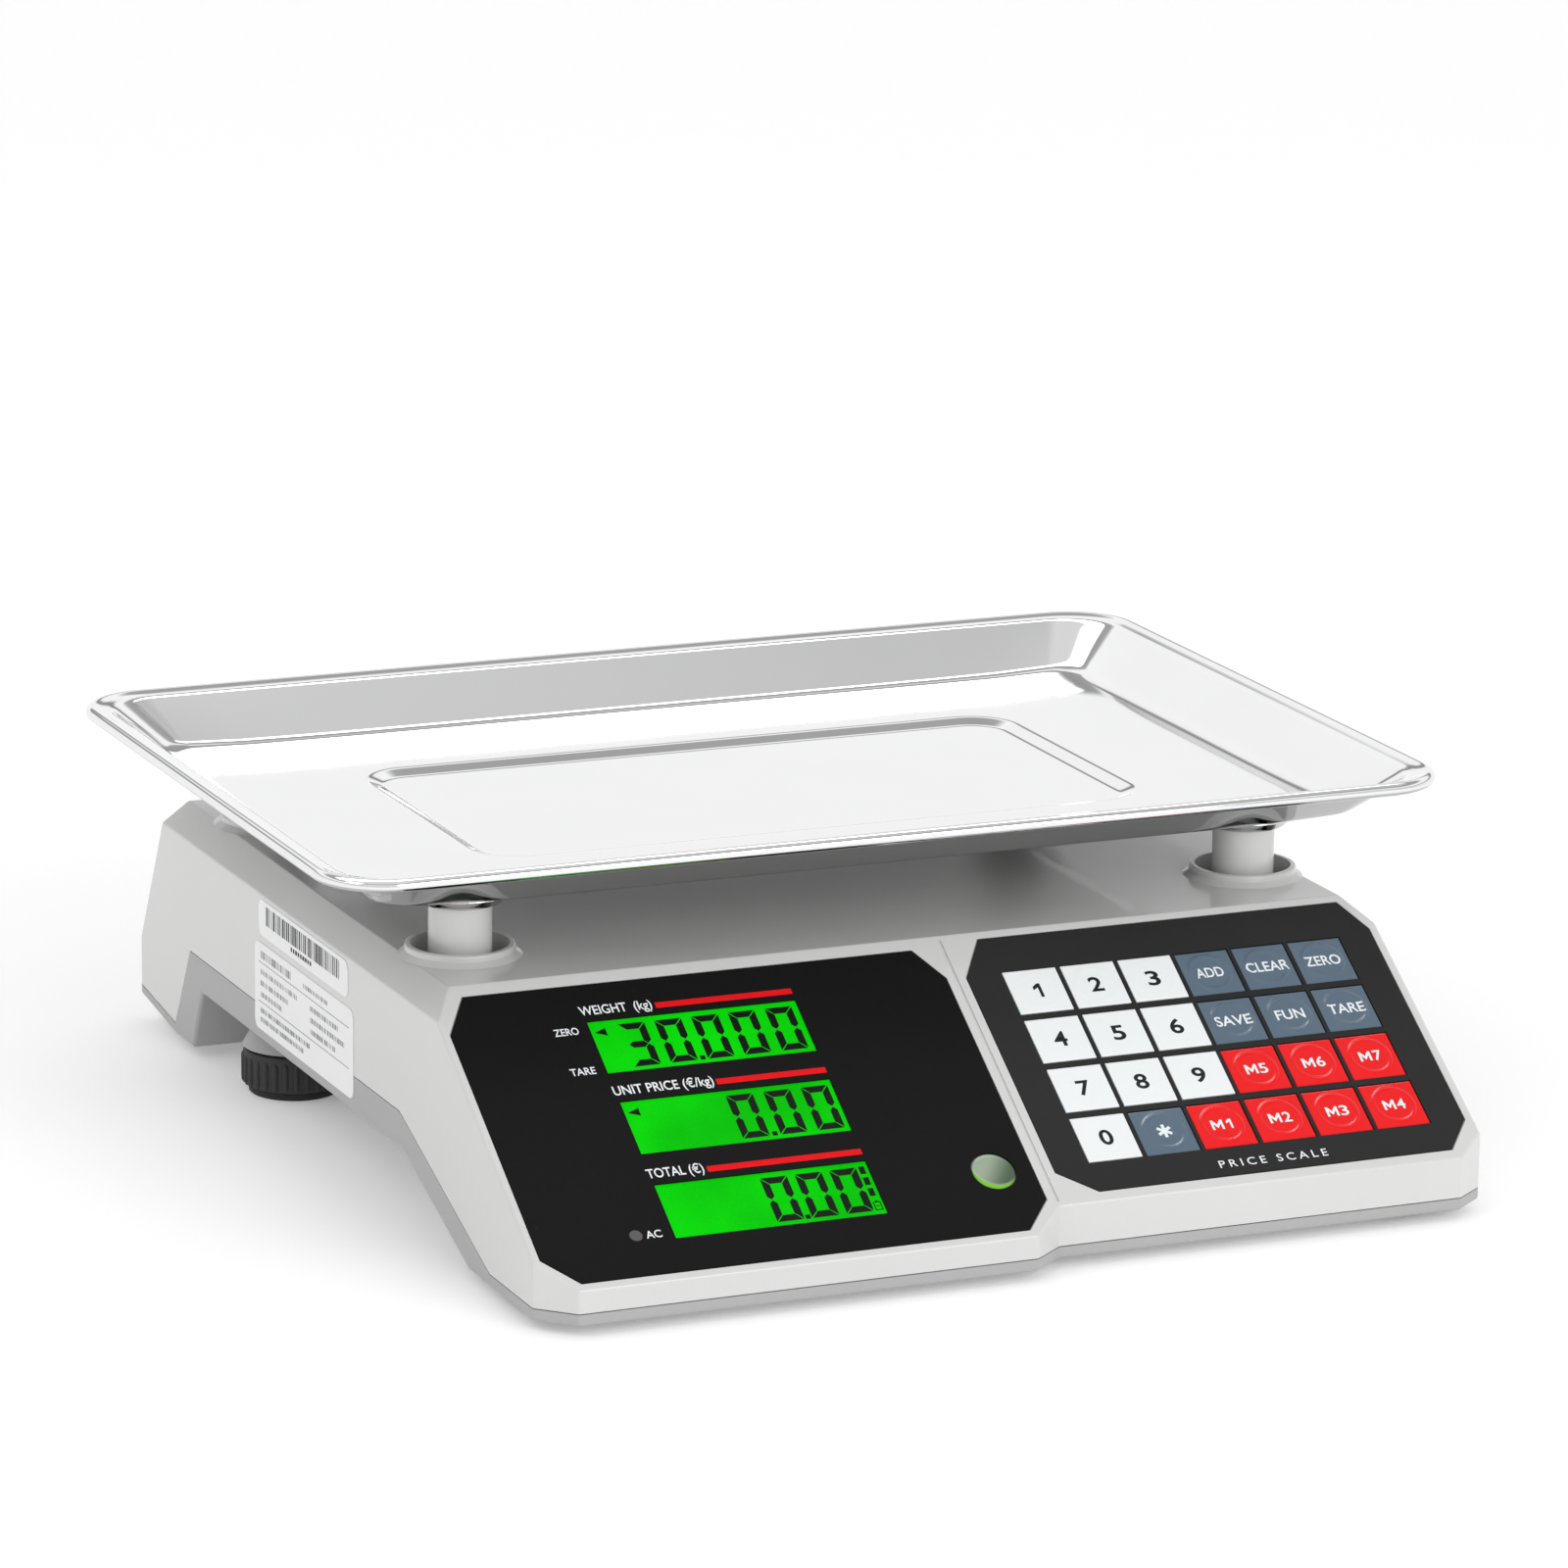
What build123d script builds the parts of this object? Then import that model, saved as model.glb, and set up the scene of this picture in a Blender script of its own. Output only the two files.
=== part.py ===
from build123d import *
import os
from math import atan, cos, degrees, sin

# Retail price scale, in millimetres. +Z is up, the operator's side faces -Y, and the origin is
# on the floor under the middle of the whole scale. Each piece is written to parts/ as its own file.

# ---- Driving dimensions: housing -------------------------------------------------------------
BODY_HALF_WIDTH = 144.5
FRONT_Y = -167.0  # front of the display section
KEYPAD_FRONT_Y = -159.2  # the keypad section stands a little further back
REAR_Y = 167.0
DECK_FRONT_Y = -75.8
DECK_REAR_Y = 143.0
DECK_Z = 73.5
REAR_KINK_Z = 26.0  # where the sloped customer face turns vertical
PANEL_GRADIENT = 0.66  # rise over run of the operator's panel
BEVEL_WIDTH = 7.2
BEVEL_DROP = 7.0
NOSE_CHAMFER = 9.6
KEYPAD_CHAMFER = 7.2
STEP_LEFT_X = 0.2  # front step between the display and keypad sections
STEP_RIGHT_X = 10.2
WALL = 2.5
EDGE_RADIUS = 1.2
CLEAR_ABOVE = 1.0  # how far a cut reaches past the face that it opens

# ---- Underside profile -----------------------------------------------------------------------
NOSE_Z = 3.0
LEG_Z = 3.5
REAR_EDGE_Z = 7.8
ARCH_Z = 22.5
NOSE_REAR_Y = -110.0
ARCH_FRONT_Y = -58.4
ARCH_REAR_Y = 110.4
LEG_FRONT_Y = 118.9
LEG_REAR_Y = 134.6

# ---- Parting line between the two housings ----------------------------------------------------
PARTING_FRONT_Z = 6.5
PARTING_MIDDLE_Z = 33.0
PARTING_LEG_Z = 7.0
PARTING_REAR_Z = 10.9
PARTING_RISE_Y = -126.0
PARTING_TOP_FRONT_Y = -56.7
PARTING_TOP_REAR_Y = 120.6
PARTING_GAP = 0.3
LIP_INSET = 1.3
LIP_GAP = 0.1
LIP_HEIGHT = 2.0
LIP_ROOT = 1.0

# ---- Weighing pan ----------------------------------------------------------------------------
PAN_LENGTH = 344.0
PAN_DEPTH = 236.0
PAN_Y = 32.8  # middle of the four posts
PAN_SHIFT_Y = 1.5  # the tray's middle lies this far behind the posts' middle
RIM_TOP_Z = 107.0
BEAD_RADIUS = 1.9
RIM_CORNER = 21.0
PAN_FLOOR_Z = 92.5  # top of the floor outside the pressed recess
PAN_SHEET = 0.9
PAN_WALL_INSET = 21.0
FLOOR_CORNER = 9.0
WALL_FOOT_RADIUS = 3.0
RECESS_LENGTH = 210.0
RECESS_DEPTH = 108.0
RECESS_BAND = 5.0
RECESS_DROP = 1.5
RECESS_CORNER = 15.0

# ---- Posts, collars, load cell ---------------------------------------------------------------
POST_X = 122.0
POST_DY = 77.4  # each way from the pan's middle
POST_RADIUS = 9.0
COLLAR_HOLE_RADIUS = 14.0
COLLAR_RADIUS = 15.6
COLLAR_HEIGHT = 3.2
COLLAR_FLARE = 1.9
COLLAR_EDGE = 0.7
COLLAR_FLARE_HEIGHT = 1.4
THROAT_DEPTH = 6.0
SPIDER_Z = 60.0
SPIDER_THICKNESS = 6.0
ARM_WIDTH = 18.0
HUB_WIDTH = 46.0
HUB_LENGTH = 110.0
ARM_EYE_MARGIN = 3.0
CELL_LENGTH = 130.0
CELL_WIDTH = 30.0
CELL_HEIGHT = 22.0
CELL_Z = 31.0
CELL_END = 30.0  # length of each clamped end
CELL_WINDOW_SHIFT = 11.0
CELL_WINDOW_RADIUS = 7.5
CELL_SLOT_HEIGHT = 7.0
CUSHION_HEIGHT = 2.0
CUSHION_CHAMFER = 0.5
PAN_GAP = 0.4
PAN_PIN_RADIUS = 3.0
PAN_PIN_LENGTH = 6.0
PAN_SOCKET_RADIUS = 3.6

# ---- Feet ------------------------------------------------------------------------------------
FEET = {
    "front_left": (-122.0, -133.0),
    "front_right": (122.0, -133.0),
    "rear_left": (-126.5, 79.2),
    "rear_right": (126.5, 79.2),
}
SOLE_RADIUS = 13.5
SOLE_HEIGHT = 2.0
SOLE_CHAMFER = 0.4
FOOT_PIVOT_RADIUS = 3.0
FOOT_PIVOT_HEIGHT = 3.6
FOOT_BORE_HEIGHT = 4.0
KNOB_RADIUS = 15.8
KNOB_Z = 2.3
KNOB_TOP_Z = 13.6
KNOB_FLUTES = 30
FLUTE_RADIUS = 0.75
STEM_RADIUS = 4.0
STEM_TOP_Z = {"front": 19.0, "rear": 26.0}
BORE_MARGIN = 1.0
RUNNING_CLEARANCE = 0.05
BOSS_FACE_Z = 14.2
WELL_RADIUS = 18.0
BOSS_RADIUS = 9.0
BOSS_ROOF = 1.5
REAR_CONE_FOOT_RADIUS = 15.4
REAR_CONE_TOP_RADIUS = 10.3
CONE_ROOT = 1.0

# ---- Operator's panel: x across, s down the slope from the deck's front edge -------------------
LABEL_SHEET = 0.6
LABEL_PROUD = 0.1
LABEL_FIT = 0.3
DISPLAY_LABEL = [(-134.7, 4.4), (-142.2, 17.2), (-142.2, 97.6), (-133.4, 106.8), (-1.6, 106.8),
                 (7.0, 97.2), (7.0, 15.6), (0.4, 4.4)]
KEYPAD_LABEL = [(21.6, 2.8), (13.2, 16.2), (13.2, 88.4), (23.4, 96.5), (133.2, 96.5),
                (141.4, 86.6), (141.4, 13.8), (135.4, 2.8)]
LCD_WIDTH = 62.5
LCD_HEIGHT = 19.0
LCD_X = -71.1
LCD_ROWS = [27.0, 56.2, 86.0]
LCD_THICKNESS = 3.0
LCD_BORDER = 2.0
VIAL_X = -4.5
VIAL_S = 85.4
VIAL_RADIUS = 6.5
VIAL_WALL = 1.0
VIAL_DEPTH = 8.0
LED_X = -113.2
LED_S = 93.1
LED_RADIUS = 2.0
GROOVE_X = 10.1
GROOVE_WIDTH = 0.8
GROOVE_DEPTH = 0.4
GROOVE_START_S = 1.6
GROOVE_END_S = 98.4

# ---- Keys ------------------------------------------------------------------------------------
KEY_COLUMNS = 6
KEY_ROWS = 4
KEY_LEFT_X = 24.2
KEY_TOP_S = 15.9
KEY_PITCH_X = 18.0
KEY_PITCH_S = 18.23
KEY_WIDTH = 16.4
KEY_HEIGHT = 15.7
KEY_GAP = 0.3
KEY_PROUD = 0.35
KEY_CAP_BOTTOM = -0.9
KEY_FLANGE_BOTTOM = -1.6
KEY_FLANGE = 0.4
KEY_STEM_BOTTOM = -2.1
KEY_STEM_RADIUS = 2.5
DOME_TOP = -2.9
DOME_HEIGHT = 0.6
DOME_RADIUS = 4.5
BOARD_THICKNESS = 1.6
BOARD_MARGIN = 4.0

# ---- Customer's display on the rear slope ------------------------------------------------------
REAR_LABEL_LENGTH = 250.0
REAR_LABEL_HEIGHT = 43.0
REAR_LABEL_S = 26.5
REAR_LABEL_CORNER = 4.0
REAR_LCD_WIDTH = 58.0
REAR_LCD_HEIGHT = 17.0
REAR_LCD_PITCH = 80.0
REAR_LCD_S = 28.0
REAR_LCD_EDGE = 1.5
REAR_BOARD_MARGIN_X = 4.0
REAR_BOARD_MARGIN_S = 6.0

# ---- Inner equipment ---------------------------------------------------------------------------
PLATE_SIZE = (90.0, 160.0, 3.0)
BATTERY_SIZE = (66.0, 98.0, 33.0)
BATTERY_X = -83.0
BATTERY_EDGE = 1.5
BATTERY_TAB = (6.3, 8.0, 0.8)
BATTERY_TAB_SHIFT = 22.0
BATTERY_TAB_DROP = 8.0
BATTERY_TAB_REACH = 3.0
HATCH_SIZE = (50.0, 80.0)
HATCH_GAP = 0.4
HATCH_RIDGE = (30.0, 3.0, 1.5)
HATCH_RIDGE_INSET = 8.0
TRANSFORMER_X = 84.0
TRANSFORMER_Y = 36.0
TRANSFORMER_CORE = (41.0, 20.0, 34.0)
TRANSFORMER_COIL = (27.0, 36.0, 23.0)
TRANSFORMER_FOOT = (56.0, 16.0, 1.2)
SWITCH_X = 104.0
SWITCH_Y = -18.0
SWITCH_CUTOUT = (13.0, 19.0)
SWITCH_FLANGE = (15.0, 21.0, 1.3)
SWITCH_DEPTH = 15.0
SWITCH_FIT = 0.1
SWITCH_TAB = (4.8, 0.8, 7.0)
SWITCH_TAB_SHIFT = 5.0
ROCKER_SIZE = (8.6, 14.0, 10.0)
ROCKER_DISH = 1.0
ROCKER_DISH_RADIUS = 24.0
ROCKER_TILT = 7.0
ROCKER_RADIUS = 9.0
ROCKER_GAP = 0.35
INLET_X = 90.0
INLET_Z = 18.6
INLET_FLANGE = (27.0, 1.4, 13.6)
INLET_BODY = (20.0, 17.0, 11.6)
INLET_SOCKET = (15.2, 12.0, 8.6)
INLET_FIT = 0.3
INLET_BACK = 4.0
INLET_PIN_RADIUS = 1.2
INLET_PIN_LENGTH = 9.0
INLET_PIN_ROOT = 1.0
INLET_PIN_SPACING = 8.6

# ---- Fasteners ---------------------------------------------------------------------------------
# Each housing screw: x, y and the height of the lower housing's outer face there.
HOUSING_SCREWS = [(-96.0, -52.6, ARCH_Z), (96.0, -52.6, ARCH_Z), (-134.0, 33.0, ARCH_Z),
                  (134.0, 33.0, ARCH_Z), (-70.0, 126.6, LEG_Z), (70.0, 126.6, LEG_Z),
                  (-27.0, -128.0, NOSE_Z), (14.5, -128.0, NOSE_Z)]
SCREW_CLEARANCE = 0.2
SCREW_HEAD_CLEARANCE = 0.4
DRIVE_SLOT = (4.5, 0.9, 2.0)
SCREW_HEAD_RADIUS = 3.5
SCREW_HEAD_HEIGHT = 2.4
SCREW_SHANK_RADIUS = 1.95
SCREW_LENGTH = 16.0
SCREW_SINK = 3.0
SCREW_PAD_RADIUS = 6.0
SCREW_PAD_HEIGHT = 6.5
SCREW_BOSS_RADIUS = 4.5
CELL_SCREW_RADIUS = 3.0
CELL_SCREW_HEAD_RADIUS = 5.0
CELL_SCREW_HEAD_HEIGHT = 4.8
CELL_SCREW_SPACING = 15.0
CELL_SCREW_END = 1.0  # how far its tip stays off the housing's floor
SPIDER_SCREW_END = 6.0  # how far its tip stays off the load cell's underside
POST_SCREW_RADIUS = 2.5
POST_SCREW_HEAD_RADIUS = 4.5
POST_SCREW_HEAD_HEIGHT = 3.0
POST_SCREW_LENGTH = 13.0
POST_BORE_MARGIN = 0.5

# ---- Stickers on the left wall: y range, z range ------------------------------------------------
STICKERS = [((-15.6, 59.0), (54.6, 65.4)), ((-20.0, 62.4), (26.0, 52.2))]
STICKER_SHEET = 0.2
STICKER_CORNER = 3.0

# ---- Sizes worked out from the driving ones -----------------------------------------------------
NOSE_TOP_Z = DECK_Z - PANEL_GRADIENT * (DECK_FRONT_Y - FRONT_Y)
ARCH_FLOOR_Z = ARCH_Z + WALL
PAN_UNDERSIDE_Z = PAN_FLOOR_Z - PAN_SHEET
POST_TOP_Z = PAN_UNDERSIDE_Z - PAN_GAP - CUSHION_HEIGHT
CELL_TOP_Z = CELL_Z + CELL_HEIGHT
SPIDER_TOP_Z = SPIDER_Z + SPIDER_THICKNESS
POSTS = [(sx * POST_X, PAN_Y + sy * POST_DY) for sx in (-1, 1) for sy in (-1, 1)]
REAR_RUN = REAR_Y - DECK_REAR_Y
REAR_DROP = DECK_Z - REAR_KINK_Z

panel_plane = Plane(origin=(0, DECK_FRONT_Y, DECK_Z), x_dir=(1, 0, 0),
                    z_dir=(0, -sin(atan(PANEL_GRADIENT)), cos(atan(PANEL_GRADIENT))))
rear_plane = Plane(origin=(0, DECK_REAR_Y, DECK_Z), x_dir=(-1, 0, 0), z_dir=(0, REAR_DROP, REAR_RUN))


# ---- Small helpers -------------------------------------------------------------------------------
def rod(radius, x, y, z0, z1):
    """Upright cylinder from height z0 to z1."""
    return Pos(x, y, (z0 + z1) / 2) * Cylinder(radius, z1 - z0)


def block(size, x, y, z0):
    """Box of the given size, standing on height z0 and centred on x, y."""
    return Pos(x, y, z0 + size[2] / 2) * Box(*size)


def outline(points, inset=0.0):
    """Flat face with the given corners, shrunk by the inset."""
    face = make_face(Polyline(*points, close=True))
    return offset(face, amount=-inset, kind=Kind.INTERSECTION) if inset else face


def prism(plane, face, low, high):
    """Solid on a plane between two distances along the plane's normal."""
    return plane * (Pos(0, 0, low) * extrude(face, high - low))


def down_slope(points):
    """Panel corners given as x, s turned into the plane's own x, y."""
    return [(x, -s) for x, s in points]


def window(x, s, width, height):
    """Rectangular face on a sloped plane."""
    return Pos(x, -s) * Rectangle(width, height)


def disc(x, s, radius):
    """Round face on a sloped plane."""
    return Pos(x, -s) * Circle(radius)


def group(solids):
    """Several separate solids in one node."""
    return Compound(children=list(solids))


# ---- Housing envelope -----------------------------------------------------------------------------
def side_outline(inset):
    points = [(FRONT_Y, NOSE_Z), (NOSE_REAR_Y, NOSE_Z), (ARCH_FRONT_Y, ARCH_Z), (ARCH_REAR_Y, ARCH_Z),
              (LEG_FRONT_Y, LEG_Z), (LEG_REAR_Y, LEG_Z), (REAR_Y, REAR_EDGE_Z), (REAR_Y, REAR_KINK_Z),
              (DECK_REAR_Y, DECK_Z), (DECK_FRONT_Y, DECK_Z), (FRONT_Y, NOSE_TOP_Z)]
    return outline(points, inset)


def plan_outline(inset):
    w = BODY_HALF_WIDTH
    points = [(-w, REAR_Y), (-w, FRONT_Y + NOSE_CHAMFER), (-w + NOSE_CHAMFER, FRONT_Y),
              (STEP_LEFT_X, FRONT_Y), (STEP_RIGHT_X, KEYPAD_FRONT_Y),
              (w - NOSE_CHAMFER, KEYPAD_FRONT_Y), (w, KEYPAD_FRONT_Y + KEYPAD_CHAMFER), (w, REAR_Y)]
    return outline(points, inset)


def front_outline(inset):
    w = BODY_HALF_WIDTH
    points = [(-w, 0), (w, 0), (w, DECK_Z - BEVEL_DROP), (w - BEVEL_WIDTH, DECK_Z),
              (-w + BEVEL_WIDTH, DECK_Z), (-w, DECK_Z - BEVEL_DROP)]
    return outline(points, inset)


def envelope(inset=0.0):
    """Whole housing as one solid, with its walls moved in by the inset."""
    side = prism(Plane.YZ, side_outline(inset), -BODY_HALF_WIDTH, BODY_HALF_WIDTH)
    plan = prism(Plane.XY, plan_outline(inset), 0, DECK_Z)
    front = prism(Plane.XZ, front_outline(inset), -REAR_Y, REAR_Y)
    return side & plan & front


def below_parting(lift=0.0):
    """Everything under the parting line, raised by the lift."""
    reach = 2 * REAR_Y
    points = [(-reach, PARTING_FRONT_Z), (PARTING_RISE_Y, PARTING_FRONT_Z),
              (PARTING_TOP_FRONT_Y, PARTING_MIDDLE_Z), (PARTING_TOP_REAR_Y, PARTING_MIDDLE_Z),
              (LEG_REAR_Y, PARTING_LEG_Z), (REAR_Y, PARTING_REAR_Z), (reach, PARTING_REAR_Z),
              (reach, -reach), (-reach, -reach)]
    return Pos(0, 0, lift) * prism(Plane.YZ, outline(points), -reach, reach)


ENVELOPE = fillet(envelope().edges(), EDGE_RADIUS)
CAVITY = envelope(WALL)
SHELL = ENVELOPE - CAVITY


# ---- Upper housing ---------------------------------------------------------------------------------
def collar(x, y):
    ring = fillet(Cylinder(COLLAR_RADIUS, COLLAR_HEIGHT).edges().group_by(Axis.Z)[-1], COLLAR_EDGE)
    flare = Cone(COLLAR_RADIUS + COLLAR_FLARE, COLLAR_RADIUS, COLLAR_FLARE_HEIGHT)
    throat = rod(COLLAR_RADIUS, 0, 0, -THROAT_DEPTH, 0)
    parts = Pos(0, 0, COLLAR_HEIGHT / 2) * ring + Pos(0, 0, COLLAR_FLARE_HEIGHT / 2) * flare + throat
    return Pos(x, y, DECK_Z) * parts


def upper_screw_boss(x, y, face_z):
    start = face_z + SCREW_PAD_HEIGHT + LIP_GAP
    return rod(SCREW_BOSS_RADIUS, x, y, start, DECK_Z) & envelope(WALL / 2)


def panel_cuts():
    """Recesses and openings in the operator's panel."""
    seat = LABEL_PROUD - LABEL_SHEET
    through = -2 * WALL
    module = (LCD_WIDTH + 2 * LCD_BORDER + 2 * LABEL_FIT, LCD_HEIGHT + 2 * LCD_BORDER + 2 * LABEL_FIT)
    cuts = [prism(panel_plane, outline(down_slope(DISPLAY_LABEL), -LABEL_FIT), seat, CLEAR_ABOVE),
            prism(panel_plane, outline(down_slope(KEYPAD_LABEL), -LABEL_FIT), seat, CLEAR_ABOVE)]
    cuts += [prism(panel_plane, window(LCD_X, s, *module), through, CLEAR_ABOVE) for s in LCD_ROWS]
    vial = disc(VIAL_X, VIAL_S, VIAL_RADIUS + VIAL_WALL + LABEL_FIT)
    cuts.append(prism(panel_plane, vial, through, CLEAR_ABOVE))
    cuts.append(prism(panel_plane, disc(LED_X, LED_S, LED_RADIUS + LABEL_FIT), through, CLEAR_ABOVE))
    cuts.append(prism(panel_plane, keypad_opening(), through, CLEAR_ABOVE))
    groove_s = (GROOVE_START_S + GROOVE_END_S) / 2
    groove = window(GROOVE_X, groove_s, GROOVE_WIDTH, GROOVE_END_S - GROOVE_START_S)
    cuts.append(prism(panel_plane, groove, -GROOVE_DEPTH, CLEAR_ABOVE))
    return cuts


def keypad_opening():
    width = (KEY_COLUMNS - 1) * KEY_PITCH_X + KEY_WIDTH + 2 * WALL
    height = (KEY_ROWS - 1) * KEY_PITCH_S + KEY_HEIGHT + 2 * WALL
    left = KEY_LEFT_X - WALL
    top = KEY_TOP_S - WALL
    return window(left + width / 2, top + height / 2, width, height)


def rear_cuts():
    """Recess and openings for the customer's display and the mains inlet."""
    seat = LABEL_PROUD - LABEL_SHEET
    label = (REAR_LABEL_LENGTH + 2 * LABEL_FIT, REAR_LABEL_HEIGHT + 2 * LABEL_FIT)
    module = [size + 2 * LABEL_FIT for size in rear_lcd_size()]
    face = Pos(0, -REAR_LABEL_S) * RectangleRounded(*label, REAR_LABEL_CORNER)
    cuts = [prism(rear_plane, face, seat, CLEAR_ABOVE)]
    cuts += [prism(rear_plane, window(x, REAR_LCD_S, *module), -2 * WALL, CLEAR_ABOVE)
             for x in rear_lcd_places()]
    flange_x, flange_y, flange_z = INLET_FLANGE
    body_x, _, body_z = INLET_BODY
    recess = Box(flange_x + 2 * INLET_FIT, 2 * flange_y, flange_z + 2 * INLET_FIT)
    hole = Box(body_x + 2 * INLET_FIT, 4 * WALL, body_z + 2 * INLET_FIT)
    cuts += [Pos(INLET_X, REAR_Y, INLET_Z) * recess, Pos(INLET_X, REAR_Y, INLET_Z) * hole]
    return cuts


def rear_lcd_places():
    return [i * REAR_LCD_PITCH for i in (-1, 0, 1)]


def rear_lcd_size():
    return REAR_LCD_WIDTH + 2 * LCD_BORDER, REAR_LCD_HEIGHT + 2 * REAR_LCD_EDGE


def upper_housing():
    shell = SHELL - below_parting(PARTING_GAP)
    shell -= envelope(LIP_INSET) & below_parting(LIP_HEIGHT + PARTING_GAP)
    for x, y in POSTS:
        shell += collar(x, y)
    for x, y, face_z in HOUSING_SCREWS:
        shell += upper_screw_boss(x, y, face_z)
        start = face_z + SCREW_PAD_HEIGHT
        shell -= rod(SCREW_SHANK_RADIUS, x, y, start, start + SCREW_LENGTH - SCREW_SINK)
    for x, y in POSTS:
        shell -= rod(COLLAR_HOLE_RADIUS, x, y, DECK_Z - 2 * THROAT_DEPTH, DECK_Z + 2 * COLLAR_HEIGHT)
    for cut in panel_cuts() + rear_cuts():
        shell -= cut
    return shell


# ---- Lower housing ---------------------------------------------------------------------------------
def foot_seat(name):
    """Solid that carries one foot: a cone under the arch, or a covered well in the nose."""
    x, y = FEET[name]
    boss = rod(BOSS_RADIUS, x, y, BOSS_FACE_Z, bore_top(name) + BOSS_ROOF)
    if name.startswith("rear"):
        height = ARCH_Z + CONE_ROOT - BOSS_FACE_Z
        cone = Cone(REAR_CONE_FOOT_RADIUS, REAR_CONE_TOP_RADIUS, height)
        return boss + Pos(x, y, BOSS_FACE_Z + height / 2) * cone
    radius = WELL_RADIUS + WALL
    start = NOSE_Z + WALL / 2
    skirt = rod(radius, x, y, start, PARTING_FRONT_Z - PARTING_GAP) & envelope(WALL / 2)
    cover = rod(radius, x, y, start, BOSS_FACE_Z + WALL) & envelope(WALL + PARTING_GAP)
    return boss + skirt + cover


def stem_top(name):
    return STEM_TOP_Z[name.split("_")[0]]


def bore_top(name):
    return stem_top(name) + BORE_MARGIN


def lower_housing():
    shell = SHELL & below_parting()
    lip = (envelope(LIP_INSET + LIP_GAP) - CAVITY) & below_parting(LIP_HEIGHT)
    shell += lip - below_parting(-LIP_ROOT)
    for name, (x, y) in FEET.items():
        shell += foot_seat(name)
        if name.startswith("front"):
            shell -= rod(WELL_RADIUS, x, y, 0, BOSS_FACE_Z)
        shell -= rod(STEM_RADIUS + RUNNING_CLEARANCE, x, y, 0, bore_top(name))
    for x, y, face_z in HOUSING_SCREWS:
        shell += rod(SCREW_PAD_RADIUS, x, y, face_z, face_z + SCREW_PAD_HEIGHT)
        shell -= rod(SCREW_HEAD_RADIUS + SCREW_HEAD_CLEARANCE, x, y, face_z - WALL, face_z + SCREW_SINK)
        shell -= rod(SCREW_SHANK_RADIUS + SCREW_CLEARANCE, x, y, face_z, face_z + 2 * SCREW_PAD_HEIGHT)
    hatch = (HATCH_SIZE[0] + 2 * HATCH_GAP, HATCH_SIZE[1] + 2 * HATCH_GAP, 3 * WALL)
    shell -= block(hatch, BATTERY_X, PAN_Y, ARCH_Z - WALL)
    shell -= block((*SWITCH_CUTOUT, 3 * WALL), SWITCH_X, SWITCH_Y, ARCH_Z - WALL)
    return shell


def battery_cover():
    """Hatch plate with a finger ridge along one end."""
    thickness = WALL - HATCH_GAP
    plate = block((*HATCH_SIZE, thickness), BATTERY_X, PAN_Y, ARCH_Z)
    ridge_y = PAN_Y + HATCH_SIZE[1] / 2 - HATCH_RIDGE_INSET
    ridge = block(HATCH_RIDGE, BATTERY_X, ridge_y, ARCH_Z - HATCH_RIDGE[2])
    return plate + ridge


# ---- Feet ------------------------------------------------------------------------------------------
def foot_pad(x, y):
    """Rubber sole with a short pivot that the knob turns on."""
    sole = chamfer(Cylinder(SOLE_RADIUS, SOLE_HEIGHT).edges().group_by(Axis.Z)[0], SOLE_CHAMFER)
    pivot = rod(FOOT_PIVOT_RADIUS, 0, 0, 0, SOLE_HEIGHT + FOOT_PIVOT_HEIGHT)
    return Pos(x, y, 0) * (Pos(0, 0, SOLE_HEIGHT / 2) * sole + pivot)


def foot_knob(x, y, top):
    """Fluted wheel with its threaded stem, drawn as a plain shaft up to the given height."""
    flutes = PolarLocations(KNOB_RADIUS, KNOB_FLUTES) * Circle(FLUTE_RADIUS)
    wheel = extrude(Circle(KNOB_RADIUS) - flutes, KNOB_TOP_Z - KNOB_Z)
    knob = Pos(0, 0, KNOB_Z) * wheel + rod(STEM_RADIUS, 0, 0, KNOB_TOP_Z, top)
    knob -= rod(FOOT_PIVOT_RADIUS + RUNNING_CLEARANCE, 0, 0, KNOB_Z, SOLE_HEIGHT + FOOT_BORE_HEIGHT)
    return Pos(x, y, 0) * knob


# ---- Weighing pan -----------------------------------------------------------------------------------
def tray(lift, foot_radius):
    """Solid with the pan's outer shape, raised by the sheet's thickness to give the inside."""
    floor = RectangleRounded(PAN_LENGTH - 2 * PAN_WALL_INSET, PAN_DEPTH - 2 * PAN_WALL_INSET, FLOOR_CORNER)
    top = RectangleRounded(PAN_LENGTH - 2 * BEAD_RADIUS, PAN_DEPTH - 2 * BEAD_RADIUS,
                           RIM_CORNER - BEAD_RADIUS)
    bead_z = RIM_TOP_Z - BEAD_RADIUS
    body = loft([Pos(0, 0, PAN_UNDERSIDE_Z) * floor, Pos(0, 0, bead_z) * top])
    body = fillet(body.edges().group_by(Axis.Z)[0], foot_radius)
    wide = RectangleRounded(RECESS_LENGTH, RECESS_DEPTH, RECESS_CORNER)
    narrow = RectangleRounded(RECESS_LENGTH - 2 * RECESS_BAND, RECESS_DEPTH - 2 * RECESS_BAND,
                              RECESS_CORNER - RECESS_BAND)
    recess = loft([Pos(0, 0, PAN_UNDERSIDE_Z - RECESS_DROP) * narrow, Pos(0, 0, PAN_UNDERSIDE_Z) * wide])
    return Pos(0, PAN_Y + PAN_SHIFT_Y, lift) * (body + recess)


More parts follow.
